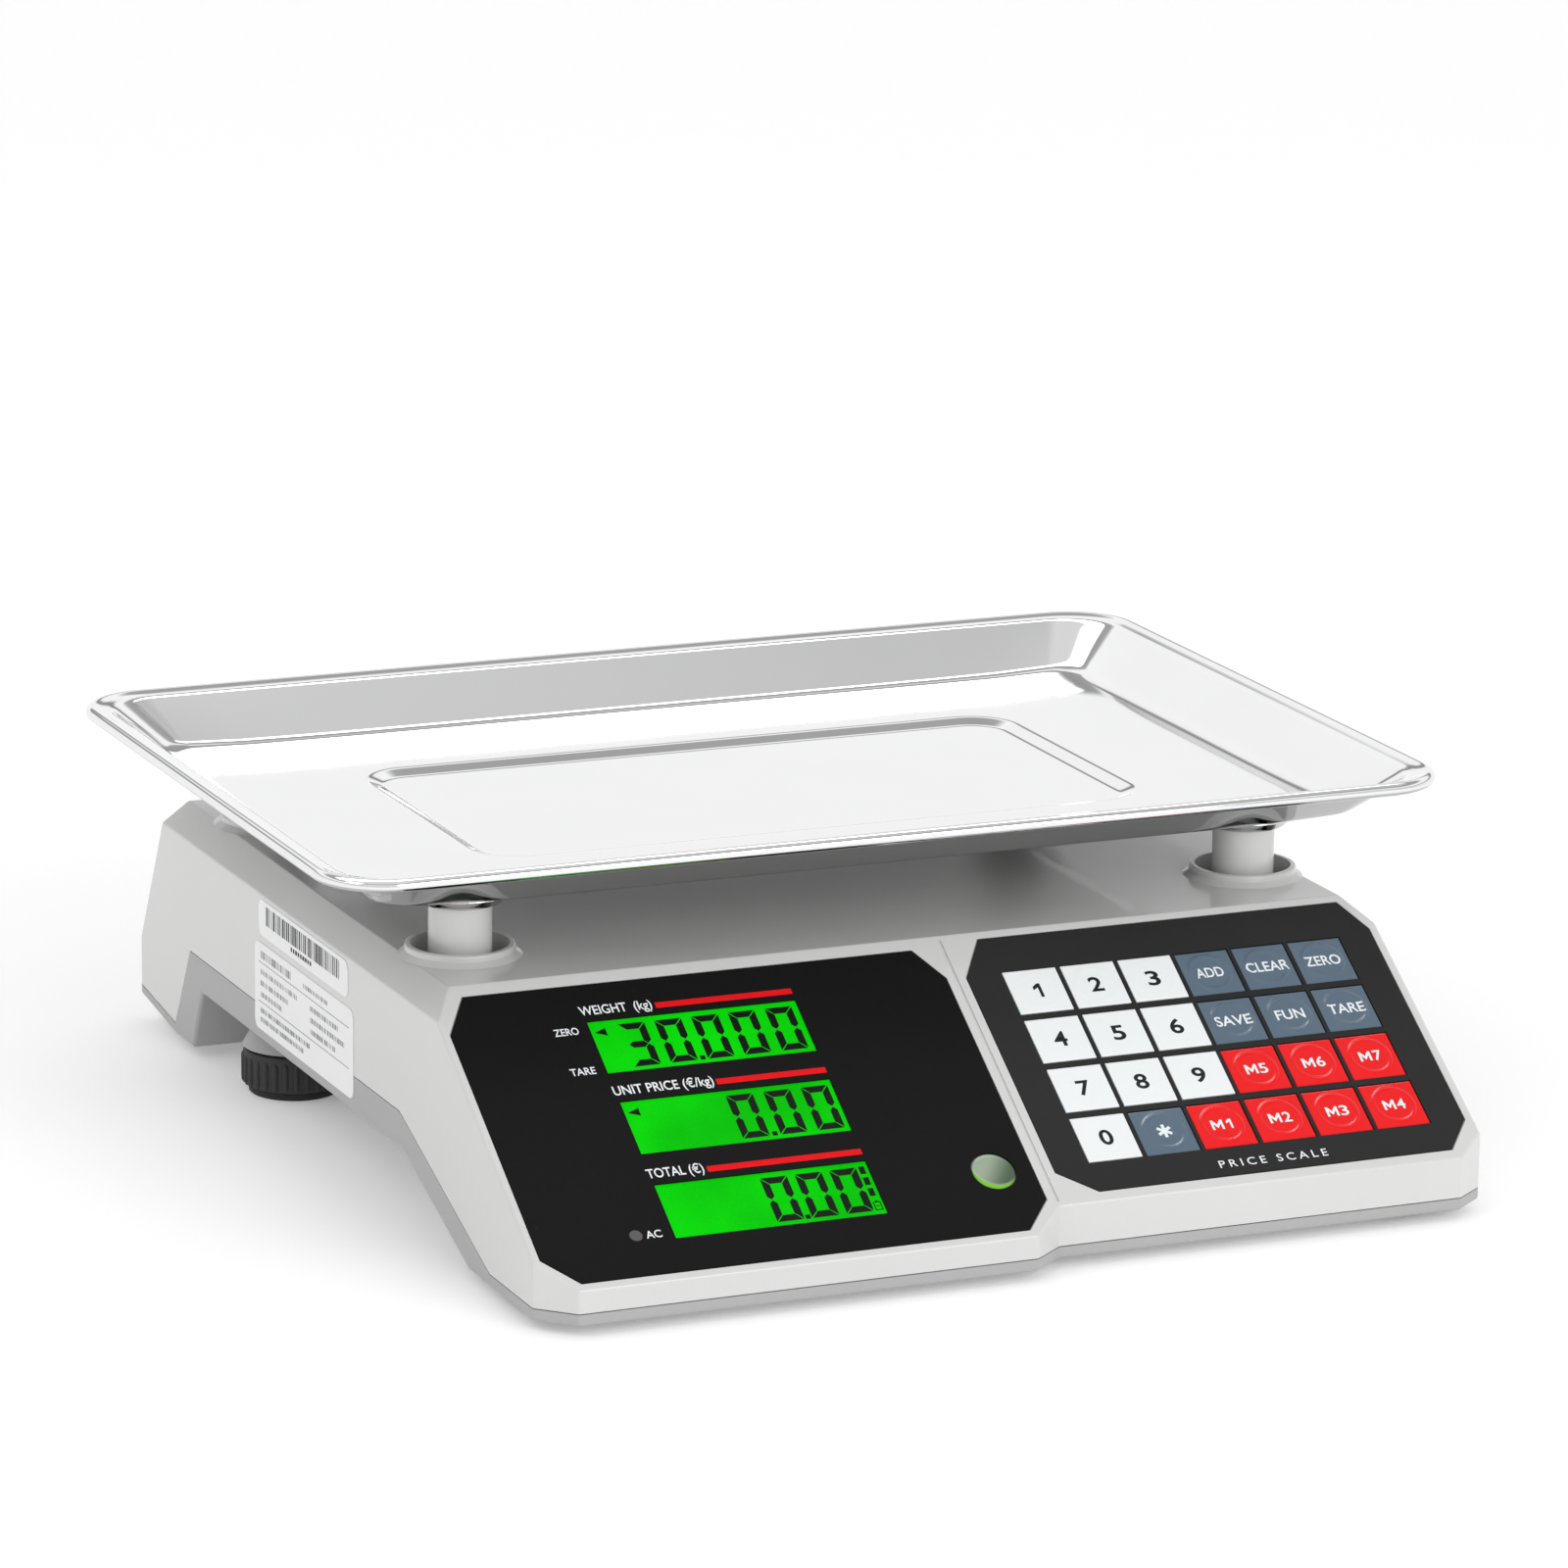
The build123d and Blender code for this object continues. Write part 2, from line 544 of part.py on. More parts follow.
def rim_bead():
    """Rolled edge, swept round the rim."""
    path = RectangleRounded(PAN_LENGTH - 2 * BEAD_RADIUS, PAN_DEPTH - 2 * BEAD_RADIUS,
                            RIM_CORNER - BEAD_RADIUS).wire()
    section = Plane(origin=path @ 0, z_dir=path % 0) * Circle(BEAD_RADIUS)
    return Pos(0, PAN_Y + PAN_SHIFT_Y, RIM_TOP_Z - BEAD_RADIUS) * sweep(section, path)


def weighing_pan():
    pan = tray(0, WALL_FOOT_RADIUS + PAN_SHEET) - tray(PAN_SHEET, WALL_FOOT_RADIUS)
    pan += rim_bead()
    for x, y in POSTS:
        pan += rod(PAN_PIN_RADIUS, x, y, PAN_UNDERSIDE_Z - PAN_PIN_LENGTH, PAN_UNDERSIDE_Z + PAN_SHEET / 2)
    return pan


# ---- Platform under the pan --------------------------------------------------------------------------
def support_spider():
    """Hub, four arms and the raised pad that is bolted to the load cell's free end."""
    spider = block((HUB_WIDTH, HUB_LENGTH, SPIDER_THICKNESS), 0, PAN_Y, SPIDER_Z)
    angle = degrees(atan(POST_DY / POST_X))
    reach = (POST_X ** 2 + POST_DY ** 2) ** 0.5
    for turn in (angle, -angle):
        arm = Box(2 * reach, ARM_WIDTH, SPIDER_THICKNESS)
        spider += Pos(0, PAN_Y, SPIDER_Z + SPIDER_THICKNESS / 2) * Rot(0, 0, turn) * arm
    for x, y in POSTS:
        spider += rod(POST_RADIUS + ARM_EYE_MARGIN, x, y, SPIDER_Z, SPIDER_TOP_Z)
    end_y = cell_end_y(1)
    spider += block((CELL_WIDTH, CELL_END, SPIDER_Z - CELL_TOP_Z), 0, end_y, CELL_TOP_Z)
    for x, y in cell_screw_places(1):
        sink_z = SPIDER_TOP_Z - CELL_SCREW_HEAD_HEIGHT
        spider -= rod(CELL_SCREW_RADIUS + SCREW_CLEARANCE, x, y, CELL_TOP_Z, SPIDER_TOP_Z)
        spider -= rod(CELL_SCREW_HEAD_RADIUS + SCREW_HEAD_CLEARANCE, x, y, sink_z, DECK_Z)
    for x, y in POSTS:
        spider -= rod(POST_SCREW_RADIUS + SCREW_CLEARANCE, x, y, SPIDER_Z, SPIDER_TOP_Z)
    return spider


def cell_end_y(side):
    """Middle of the fixed (-1) or free (+1) end of the load cell."""
    return PAN_Y + side * (CELL_LENGTH - CELL_END) / 2


def cell_screw_places(side):
    return [(0, cell_end_y(side) + d) for d in (-CELL_SCREW_SPACING / 2, CELL_SCREW_SPACING / 2)]


def load_cell():
    """Single-point bar with its two joined round windows."""
    bar = block((CELL_WIDTH, CELL_LENGTH, CELL_HEIGHT), 0, PAN_Y, CELL_Z)
    middle_z = CELL_Z + CELL_HEIGHT / 2
    for shift in (-CELL_WINDOW_SHIFT, CELL_WINDOW_SHIFT):
        eye = Rot(0, 90, 0) * Cylinder(CELL_WINDOW_RADIUS, 2 * CELL_WIDTH)
        bar -= Pos(0, PAN_Y + shift, middle_z) * eye
    bar -= Pos(0, PAN_Y, middle_z) * Box(2 * CELL_WIDTH, 2 * CELL_WINDOW_SHIFT, CELL_SLOT_HEIGHT)
    for side in (-1, 1):
        for x, y in cell_screw_places(side):
            bar -= rod(CELL_SCREW_RADIUS + SCREW_CLEARANCE, x, y, CELL_Z, CELL_TOP_Z)
    return bar


def load_cell_screws():
    screws = []
    for x, y in cell_screw_places(-1):
        head = rod(CELL_SCREW_HEAD_RADIUS, x, y, CELL_TOP_Z, CELL_TOP_Z + CELL_SCREW_HEAD_HEIGHT)
        screws.append(head + rod(CELL_SCREW_RADIUS, x, y, ARCH_FLOOR_Z + CELL_SCREW_END, CELL_TOP_Z))
    return group(screws)


def spider_screws():
    screws = []
    for x, y in cell_screw_places(1):
        head_z = SPIDER_TOP_Z - CELL_SCREW_HEAD_HEIGHT
        head = rod(CELL_SCREW_HEAD_RADIUS, x, y, head_z, SPIDER_TOP_Z)
        screws.append(head + rod(CELL_SCREW_RADIUS, x, y, CELL_Z + SPIDER_SCREW_END, head_z))
    for x, y in POSTS:
        head = rod(POST_SCREW_HEAD_RADIUS, x, y, SPIDER_Z - POST_SCREW_HEAD_HEIGHT, SPIDER_Z)
        screws.append(head + rod(POST_SCREW_RADIUS, x, y, SPIDER_Z, SPIDER_Z + POST_SCREW_LENGTH))
    return group(screws)


def pan_posts():
    posts = []
    for x, y in POSTS:
        post = rod(POST_RADIUS, x, y, SPIDER_TOP_Z, POST_TOP_Z)
        post -= rod(PAN_SOCKET_RADIUS, x, y, POST_TOP_Z - PAN_PIN_LENGTH, POST_TOP_Z)
        bore_end = SPIDER_Z + POST_SCREW_LENGTH + POST_BORE_MARGIN
        post -= rod(POST_SCREW_RADIUS, x, y, SPIDER_TOP_Z, bore_end)
        posts.append(post)
    return group(posts)


def post_cushions():
    cushions = []
    for x, y in POSTS:
        disc_solid = Cylinder(POST_RADIUS, CUSHION_HEIGHT)
        cushion = chamfer(disc_solid.edges().group_by(Axis.Z)[-1], CUSHION_CHAMFER)
        hole = Cylinder(PAN_SOCKET_RADIUS, 2 * CUSHION_HEIGHT)
        cushions.append(Pos(x, y, POST_TOP_Z + CUSHION_HEIGHT / 2) * (cushion - hole))
    return group(cushions)


def base_plate():
    """Steel plate on the lower housing's floor, raised under the load cell's fixed end."""
    width, length, thickness = PLATE_SIZE
    plate = block(PLATE_SIZE, 0, PAN_Y, ARCH_FLOOR_Z)
    pad_height = CELL_Z - ARCH_FLOOR_Z - thickness
    plate += block((CELL_WIDTH, CELL_END, pad_height), 0, cell_end_y(-1), ARCH_FLOOR_Z + thickness)
    for x, y in cell_screw_places(-1):
        plate -= rod(CELL_SCREW_RADIUS, x, y, ARCH_FLOOR_Z + CELL_SCREW_END, CELL_Z)
    return plate


# ---- Labels, displays, indicators ----------------------------------------------------------------------
def display_label():
    face = outline(down_slope(DISPLAY_LABEL))
    for s in LCD_ROWS:
        face -= window(LCD_X, s, LCD_WIDTH, LCD_HEIGHT)
    face -= disc(VIAL_X, VIAL_S, VIAL_RADIUS)
    face -= disc(LED_X, LED_S, LED_RADIUS)
    return prism(panel_plane, face, LABEL_PROUD - LABEL_SHEET, LABEL_PROUD)


def key_places():
    """Middle of each key as x, s, row by row from the deck's edge."""
    first_x = KEY_LEFT_X + KEY_WIDTH / 2
    first_s = KEY_TOP_S + KEY_HEIGHT / 2
    return [(first_x + column * KEY_PITCH_X, first_s + row * KEY_PITCH_S)
            for row in range(KEY_ROWS) for column in range(KEY_COLUMNS)]


def keypad_overlay():
    face = outline(down_slope(KEYPAD_LABEL))
    for x, s in key_places():
        face -= window(x, s, KEY_WIDTH + 2 * KEY_GAP, KEY_HEIGHT + 2 * KEY_GAP)
    return prism(panel_plane, face, LABEL_PROUD - LABEL_SHEET, LABEL_PROUD)


def key(x, s):
    """Key cap with a flange that the overlay holds in, and a stem over its dome."""
    cap = prism(panel_plane, window(x, s, KEY_WIDTH, KEY_HEIGHT), KEY_CAP_BOTTOM, KEY_PROUD)
    flange = window(x, s, KEY_WIDTH + 2 * KEY_FLANGE, KEY_HEIGHT + 2 * KEY_FLANGE)
    stem = disc(x, s, KEY_STEM_RADIUS)
    return (cap + prism(panel_plane, flange, KEY_FLANGE_BOTTOM, KEY_CAP_BOTTOM)
            + prism(panel_plane, stem, KEY_STEM_BOTTOM, KEY_FLANGE_BOTTOM))


def snap_domes():
    return group(prism(panel_plane, disc(x, s, DOME_RADIUS), DOME_TOP - DOME_HEIGHT, DOME_TOP)
                 for x, s in key_places())


def main_board():
    top = DOME_TOP - DOME_HEIGHT
    places = key_places()
    middle_x = (places[0][0] + places[-1][0]) / 2
    middle_s = (places[0][1] + places[-1][1]) / 2
    height = KEY_ROWS * KEY_PITCH_S + 2 * BOARD_MARGIN
    face = window(middle_x, middle_s, KEY_COLUMNS * KEY_PITCH_X, height)
    return prism(panel_plane, face, top - BOARD_THICKNESS, top)


def front_lcds():
    top = LABEL_PROUD - LABEL_SHEET
    size = (LCD_WIDTH + 2 * LCD_BORDER, LCD_HEIGHT + 2 * LCD_BORDER)
    return group(prism(panel_plane, window(LCD_X, s, *size), top - LCD_THICKNESS, top) for s in LCD_ROWS)


def level_vial():
    """Round bubble level: a stepped clear cup behind the label."""
    top = LABEL_PROUD - LABEL_SHEET
    cup = prism(panel_plane, disc(VIAL_X, VIAL_S, VIAL_RADIUS + VIAL_WALL), top - VIAL_DEPTH, top)
    return cup + prism(panel_plane, disc(VIAL_X, VIAL_S, VIAL_RADIUS - LABEL_FIT), top, 0)


def ac_indicator():
    face = disc(LED_X, LED_S, LED_RADIUS - LABEL_FIT / 2)
    return prism(panel_plane, face, -2 * WALL, LABEL_PROUD)


def rear_label():
    face = Pos(0, -REAR_LABEL_S) * RectangleRounded(REAR_LABEL_LENGTH, REAR_LABEL_HEIGHT, REAR_LABEL_CORNER)
    for x in rear_lcd_places():
        face -= window(x, REAR_LCD_S, REAR_LCD_WIDTH, REAR_LCD_HEIGHT)
    return prism(rear_plane, face, LABEL_PROUD - LABEL_SHEET, LABEL_PROUD)


def rear_lcds():
    top = LABEL_PROUD - LABEL_SHEET
    return group(prism(rear_plane, window(x, REAR_LCD_S, *rear_lcd_size()), top - LCD_THICKNESS, top)
                 for x in rear_lcd_places())


def rear_board():
    top = LABEL_PROUD - LABEL_SHEET - LCD_THICKNESS
    length = 2 * (REAR_LCD_PITCH + REAR_BOARD_MARGIN_X) + REAR_LCD_WIDTH
    face = window(0, REAR_LCD_S, length, REAR_LCD_HEIGHT + 2 * REAR_BOARD_MARGIN_S)
    return prism(rear_plane, face, top - BOARD_THICKNESS, top)


def rating_labels():
    """Two thin stickers on the left wall."""
    stickers = []
    for (y0, y1), (z0, z1) in STICKERS:
        face = Pos((y0 + y1) / 2, (z0 + z1) / 2) * RectangleRounded(y1 - y0, z1 - z0, STICKER_CORNER)
        low = -BODY_HALF_WIDTH - STICKER_SHEET
        stickers.append(prism(Plane.YZ, face, low, low + STICKER_SHEET))
    return group(stickers)


# ---- Power ---------------------------------------------------------------------------------------------
def battery():
    """Sealed battery lying flat, with its two tabs."""
    _, length, height = BATTERY_SIZE
    case = fillet(Box(*BATTERY_SIZE).edges(), BATTERY_EDGE)
    case = Pos(BATTERY_X, PAN_Y, ARCH_FLOOR_Z + height / 2) * case
    tab_y = PAN_Y - length / 2 - BATTERY_TAB_REACH
    for shift in (-BATTERY_TAB_SHIFT, BATTERY_TAB_SHIFT):
        case += block(BATTERY_TAB, BATTERY_X + shift, tab_y, ARCH_FLOOR_Z + height - BATTERY_TAB_DROP)
    return case


def transformer():
    core_height = TRANSFORMER_CORE[2]
    core = block(TRANSFORMER_CORE, TRANSFORMER_X, TRANSFORMER_Y, ARCH_FLOOR_Z)
    coil_z = ARCH_FLOOR_Z + (core_height - TRANSFORMER_COIL[2]) / 2
    feet = block(TRANSFORMER_FOOT, TRANSFORMER_X, TRANSFORMER_Y, ARCH_FLOOR_Z)
    return core + block(TRANSFORMER_COIL, TRANSFORMER_X, TRANSFORMER_Y, coil_z) + feet


def switch_body():
    """Rocker switch frame in the arch's floor, with a curved-out seat for the rocker."""
    flange = block(SWITCH_FLANGE, SWITCH_X, SWITCH_Y, ARCH_Z - SWITCH_FLANGE[2])
    size = (SWITCH_CUTOUT[0] - 2 * SWITCH_FIT, SWITCH_CUTOUT[1] - 2 * SWITCH_FIT, SWITCH_DEPTH)
    body = flange + block(size, SWITCH_X, SWITCH_Y, ARCH_Z)
    for shift in (-SWITCH_TAB_SHIFT, SWITCH_TAB_SHIFT):
        body += block(SWITCH_TAB, SWITCH_X, SWITCH_Y + shift, ARCH_Z + SWITCH_DEPTH)
    length = ROCKER_SIZE[0] + 2 * ROCKER_GAP
    seat = Rot(0, 90, 0) * Cylinder(ROCKER_RADIUS + ROCKER_GAP, length)
    return body - Pos(SWITCH_X, SWITCH_Y, ARCH_Z) * seat


def power_rocker():
    """Rocker drawn pressed to its off side; it turns about the frame's middle."""
    drum = Rot(0, 90, 0) * Cylinder(ROCKER_RADIUS - ROCKER_GAP, ROCKER_SIZE[0])
    rocker = drum & Box(*ROCKER_SIZE)
    dish_z = -ROCKER_SIZE[2] / 2 + ROCKER_DISH - ROCKER_DISH_RADIUS
    dish = Pos(0, 0, dish_z) * Rot(0, 90, 0) * Cylinder(ROCKER_DISH_RADIUS, 2 * ROCKER_SIZE[0])
    return Pos(SWITCH_X, SWITCH_Y, ARCH_Z) * Rot(-ROCKER_TILT, 0, 0) * (rocker - dish)


def mains_inlet():
    """Two-pin appliance inlet with its flange in the rear wall's recess."""
    flange_y = REAR_Y - INLET_FLANGE[1] / 2
    flange = Pos(0, flange_y, 0) * Box(*INLET_FLANGE)
    body = Pos(0, REAR_Y - INLET_FLANGE[1] - INLET_BODY[1] / 2, 0) * Box(*INLET_BODY)
    socket_face = SlotOverall(INLET_SOCKET[0], INLET_SOCKET[2])
    socket = Plane.XZ * extrude(socket_face, INLET_SOCKET[1])
    inlet = flange + body - Pos(0, REAR_Y, 0) * socket - Pos(0, REAR_Y - INLET_SOCKET[1], 0) * socket
    back_y = REAR_Y - INLET_SOCKET[1]
    inlet += Pos(0, back_y - INLET_BACK / 2, 0) * Box(INLET_BODY[0], INLET_BACK, INLET_BODY[2])
    for shift in (-INLET_PIN_SPACING / 2, INLET_PIN_SPACING / 2):
        pin = Rot(90, 0, 0) * Cylinder(INLET_PIN_RADIUS, INLET_PIN_LENGTH + INLET_PIN_ROOT)
        inlet += Pos(shift, back_y + (INLET_PIN_LENGTH - INLET_PIN_ROOT) / 2, 0) * pin
    return Pos(INLET_X, 0, INLET_Z) * inlet


def housing_screws():
    screws = []
    for x, y, face_z in HOUSING_SCREWS:
        head_z = face_z + SCREW_SINK - SCREW_HEAD_HEIGHT
        head = rod(SCREW_HEAD_RADIUS, x, y, head_z, face_z + SCREW_SINK)
        shank = rod(SCREW_SHANK_RADIUS, x, y, face_z + SCREW_SINK, face_z + SCREW_LENGTH)
        slot = Box(*DRIVE_SLOT) + Rot(0, 0, 90) * Box(*DRIVE_SLOT)
        screws.append(head + shank - Pos(x, y, head_z) * slot)
    return group(screws)


# ---- Write every node -------------------------------------------------------------------------------------
NODES = {
    "upper_housing": upper_housing,
    "lower_housing": lower_housing,
    "battery_cover": battery_cover,
    "base_plate": base_plate,
    "load_cell": load_cell,
    "load_cell_screws": load_cell_screws,
    "support_spider": support_spider,
    "spider_screws": spider_screws,
    "pan_posts": pan_posts,
    "post_cushions": post_cushions,
    "weighing_pan": weighing_pan,
    "display_label": display_label,
    "keypad_overlay": keypad_overlay,
    "front_lcds": front_lcds,
    "main_board": main_board,
    "snap_domes": snap_domes,
    "level_vial": level_vial,
    "ac_indicator": ac_indicator,
    "rear_label": rear_label,
    "rear_lcds": rear_lcds,
    "rear_board": rear_board,
    "rating_labels": rating_labels,
    "battery": battery,
    "transformer": transformer,
    "switch_body": switch_body,
    "power_rocker": power_rocker,
    "mains_inlet": mains_inlet,
    "housing_screws": housing_screws,
}


def main():
    os.makedirs("parts", exist_ok=True)
    for name, make in NODES.items():
        export_step(make(), f"parts/{name}.step")
    for number, (x, s) in enumerate(key_places(), start=1):
        export_step(key(x, s), f"parts/key_{number:02d}.step")
    for name, (x, y) in FEET.items():
        export_step(foot_pad(x, y), f"parts/foot_pad_{name}.step")
        export_step(foot_knob(x, y, stem_top(name)), f"parts/foot_knob_{name}.step")


if __name__ == "__main__":
    main()
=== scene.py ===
"""Looks of a counter price scale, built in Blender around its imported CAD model."""
from __future__ import annotations

import logging
import math
from dataclasses import dataclass, field
from enum import Enum
from typing import Any, Callable, Iterable, Sequence, Union

import bmesh
import bpy
from mathutils import Matrix, Vector

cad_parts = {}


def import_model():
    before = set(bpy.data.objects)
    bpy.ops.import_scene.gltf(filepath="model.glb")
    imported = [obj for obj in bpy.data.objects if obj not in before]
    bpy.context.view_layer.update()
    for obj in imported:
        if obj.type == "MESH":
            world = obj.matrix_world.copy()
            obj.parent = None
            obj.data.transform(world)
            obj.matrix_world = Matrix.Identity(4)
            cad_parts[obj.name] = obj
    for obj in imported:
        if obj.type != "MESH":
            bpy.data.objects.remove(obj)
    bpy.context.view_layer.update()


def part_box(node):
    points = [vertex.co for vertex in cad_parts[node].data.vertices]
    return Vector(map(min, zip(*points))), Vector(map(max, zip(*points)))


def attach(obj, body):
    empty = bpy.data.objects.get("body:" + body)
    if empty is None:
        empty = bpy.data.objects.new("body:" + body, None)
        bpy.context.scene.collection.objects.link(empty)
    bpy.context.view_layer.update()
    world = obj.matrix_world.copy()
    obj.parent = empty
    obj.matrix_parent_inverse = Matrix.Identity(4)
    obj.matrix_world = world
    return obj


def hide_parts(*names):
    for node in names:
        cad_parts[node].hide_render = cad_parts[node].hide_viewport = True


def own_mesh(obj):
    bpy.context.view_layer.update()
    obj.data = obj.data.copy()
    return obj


log = logging.getLogger("price_scale")

MM = 0.001
FILM_TOP = 0.1  # how far the printed films stand off their faces, in mm
GLASS_TOP = -0.5  # the displays' glass lies this far below their faces, in mm
SEGMENT_SHEET = 0.04  # thickness of the marks on the displays' glass, in mm
PANEL_GRADIENT = 0.66  # fall over run of the operator's panel
Colour = tuple[float, float, float]
Point2 = tuple[float, float]
Value = Union["Wire", float, int]


# ---- Node trees ------------------------------------------------------------------------------
class Wire:
    """An output socket of a node tree. Arithmetic on it adds Math nodes to the tree."""

    def __init__(self, desk: "NodeDesk", socket: bpy.types.NodeSocket) -> None:
        """Holds the socket and the desk that owns its tree."""
        self.desk = desk
        self.socket = socket

    def maths(self, operation: str, *others: Value, **settings: Any) -> "Wire":
        """Adds a Math node.

        Args:
            operation: The node's operation, such as "ADD".
            others: The values that follow this one.
            settings: Further settings of the node, such as use_clamp.

        Returns:
            The node's result.
        """
        values = dict(enumerate((self, *others)))
        return self.desk.add("ShaderNodeMath", {"operation": operation, **settings}, values)

    def _from_right(self, operation: str, first: Value) -> "Wire":
        """The operation with this wire as its second value."""
        return self.desk.add("ShaderNodeMath", {"operation": operation}, {0: first, 1: self})

    def __add__(self, other: Value) -> "Wire":
        """Sum."""
        return self.maths("ADD", other)

    __radd__ = __add__

    def __sub__(self, other: Value) -> "Wire":
        """Difference."""
        return self.maths("SUBTRACT", other)

    def __rsub__(self, other: Value) -> "Wire":
        """Difference, from a number."""
        return self._from_right("SUBTRACT", other)

    def __mul__(self, other: Value) -> "Wire":
        """Product."""
        return self.maths("MULTIPLY", other)

    __rmul__ = __mul__

    def __truediv__(self, other: Value) -> "Wire":
        """Quotient."""
        return self.maths("DIVIDE", other)

    def __rtruediv__(self, other: Value) -> "Wire":
        """Quotient of a number by this wire."""
        return self._from_right("DIVIDE", other)

    def __pow__(self, other: Value) -> "Wire":
        """Power."""
        return self.maths("POWER", other)

    def __neg__(self) -> "Wire":
        """The value with its sign turned."""
        return self.maths("MULTIPLY", -1.0)

    def smooth_step(self, low: float, high: float) -> "Wire":
        """0 below low, 1 above high and a smooth ramp between."""
        share = ((self - low) / (high - low)).maths("ADD", 0.0, use_clamp=True)
        return share * share * (3.0 - 2.0 * share)


class NodeDesk:
    """Adds nodes to one tree, a material's, a world's or a Geometry Nodes group."""

    def __init__(self, tree: bpy.types.NodeTree) -> None:
        """Holds the tree that the nodes go into."""
        self.tree = tree

    def add(self, kind: str, settings: dict[str, Any] | None = None,
            inputs: dict[Any, Any] | None = None, output: Any = 0) -> Wire:
        """Adds a node of any type.

        Args:
            kind: The node's type name.
            settings: Attributes set first; "stops" gives a colour ramp's places and colours.
            inputs: Values or wires by socket name or number.
            output: Name or number of the output that is returned.

        Returns:
            That output as a wire.
        """
        node = self.tree.nodes.new(kind)
        for key, value in (settings or {}).items():
            if key == "stops":
                self._set_stops(node.color_ramp, value)
            else:
                setattr(node, key, value)
        for key, value in (inputs or {}).items():
            if isinstance(value, Wire):
                self.tree.links.new(value.socket, node.inputs[key])
            else:
                node.inputs[key].default_value = value
        return Wire(self, node.outputs[output])

    @staticmethod
    def _set_stops(ramp: bpy.types.ColorRamp, stops: Sequence[tuple[float, Colour]]) -> None:
        """Gives a colour ramp its stops."""
        while len(ramp.elements) < len(stops):
            ramp.elements.new(0.5)
        for element, (place, colour) in zip(ramp.elements, stops):
            element.position = place
            element.color = (*colour, 1.0)

    def mix(self, factor: Value, first: Any, second: Any) -> Wire:
        """Mixes two colours, each a wire or three numbers.

        Args:
            factor: 0 for the first colour, 1 for the second.
            first: The colour at 0.
            second: The colour at 1.

        Returns:
            The mixed colour.
        """
        colours = [c if isinstance(c, Wire) else (*c, 1.0) for c in (first, second)]
        values = {0: factor, 6: colours[0], 7: colours[1]}
        return self.add("ShaderNodeMix", {"data_type": "RGBA"}, values, output=2)

    def axes(self, vector: Wire) -> tuple[Wire, Wire, Wire]:
        """The three components of a vector."""
        split = self.tree.nodes.new("ShaderNodeSeparateXYZ")
        self.tree.links.new(vector.socket, split.inputs[0])
        x, y, z = (Wire(self, out) for out in split.outputs)
        return x, y, z


class Painter(NodeDesk):
    """A material's tree, with its Principled shader."""

    def __init__(self, name: str) -> None:
        """Makes an empty material."""
        self.material = bpy.data.materials.new(name)
        self.material.use_nodes = True
        super().__init__(self.material.node_tree)
        self.tree.nodes.clear()
        self.shader = self.tree.nodes.new("ShaderNodeBsdfPrincipled")
        self.output = self.tree.nodes.new("ShaderNodeOutputMaterial")
        self.tree.links.new(self.shader.outputs[0], self.output.inputs[0])

    def place(self, rotation: tuple[float, float, float] = (0, 0, 0),
              centre: tuple[float, float, float] = (0, 0, 0),
              scale: tuple[float, float, float] = (1, 1, 1)) -> Wire:
        """Object coordinates, moved so that the centre is at zero, then turned and scaled.

        Args:
            rotation: Turn about x, y and z in radians.
            centre: The point that becomes zero.
            scale: Stretch along x, y and z.

        Returns:
            The coordinates as a vector wire.
        """
        where = self.add("ShaderNodeTexCoord", output="Object")
        back = tuple(-c for c in centre)
        moved = self.add("ShaderNodeMapping", {}, {"Vector": where, "Location": back})
        return self.add("ShaderNodeMapping", {}, {"Vector": moved, "Rotation": rotation, "Scale": scale})

    def noise(self, where: Wire, feature: float, detail: float = 2.0, rough: float = 0.5) -> Wire:
        """Fractal noise from 0 to 1.

        Args:
            where: Coordinates in metres.
            feature: Size of its features in metres.
            detail: Number of octaves.
            rough: Strength of the finer octaves.

        Returns:
            The noise value.
        """
        values = {"Vector": where, "Scale": 1.0 / feature, "Detail": detail, "Roughness": rough}
        return self.add("ShaderNodeTexNoise", {}, values)

    def bump(self, height: Wire, depth: float, under: Wire | None = None) -> Wire:
        """A Bump node.

        Args:
            height: Height from 0 to 1.
            depth: Depth in metres of a height of 1.
            under: A normal that this bump is laid over.

        Returns:
            The new normal.
        """
        values: dict[str, Any] = {"Height": height, "Distance": depth, "Strength": 1.0}
        if under is not None:
            values["Normal"] = under
        return self.add("ShaderNodeBump", {}, values)

    def wear(self, **sockets: Any) -> bpy.types.Material:
        """Sets the shader's sockets, by their names with _ for a space, and returns the material."""
        for key, value in sockets.items():
            socket = self.shader.inputs[key.replace("_", " ")]
            if isinstance(value, Wire):
                self.tree.links.new(value.socket, socket)
            elif isinstance(value, tuple) and len(value) == 3:
                socket.default_value = (*value, 1.0)
            else:
                socket.default_value = value
        return self.material


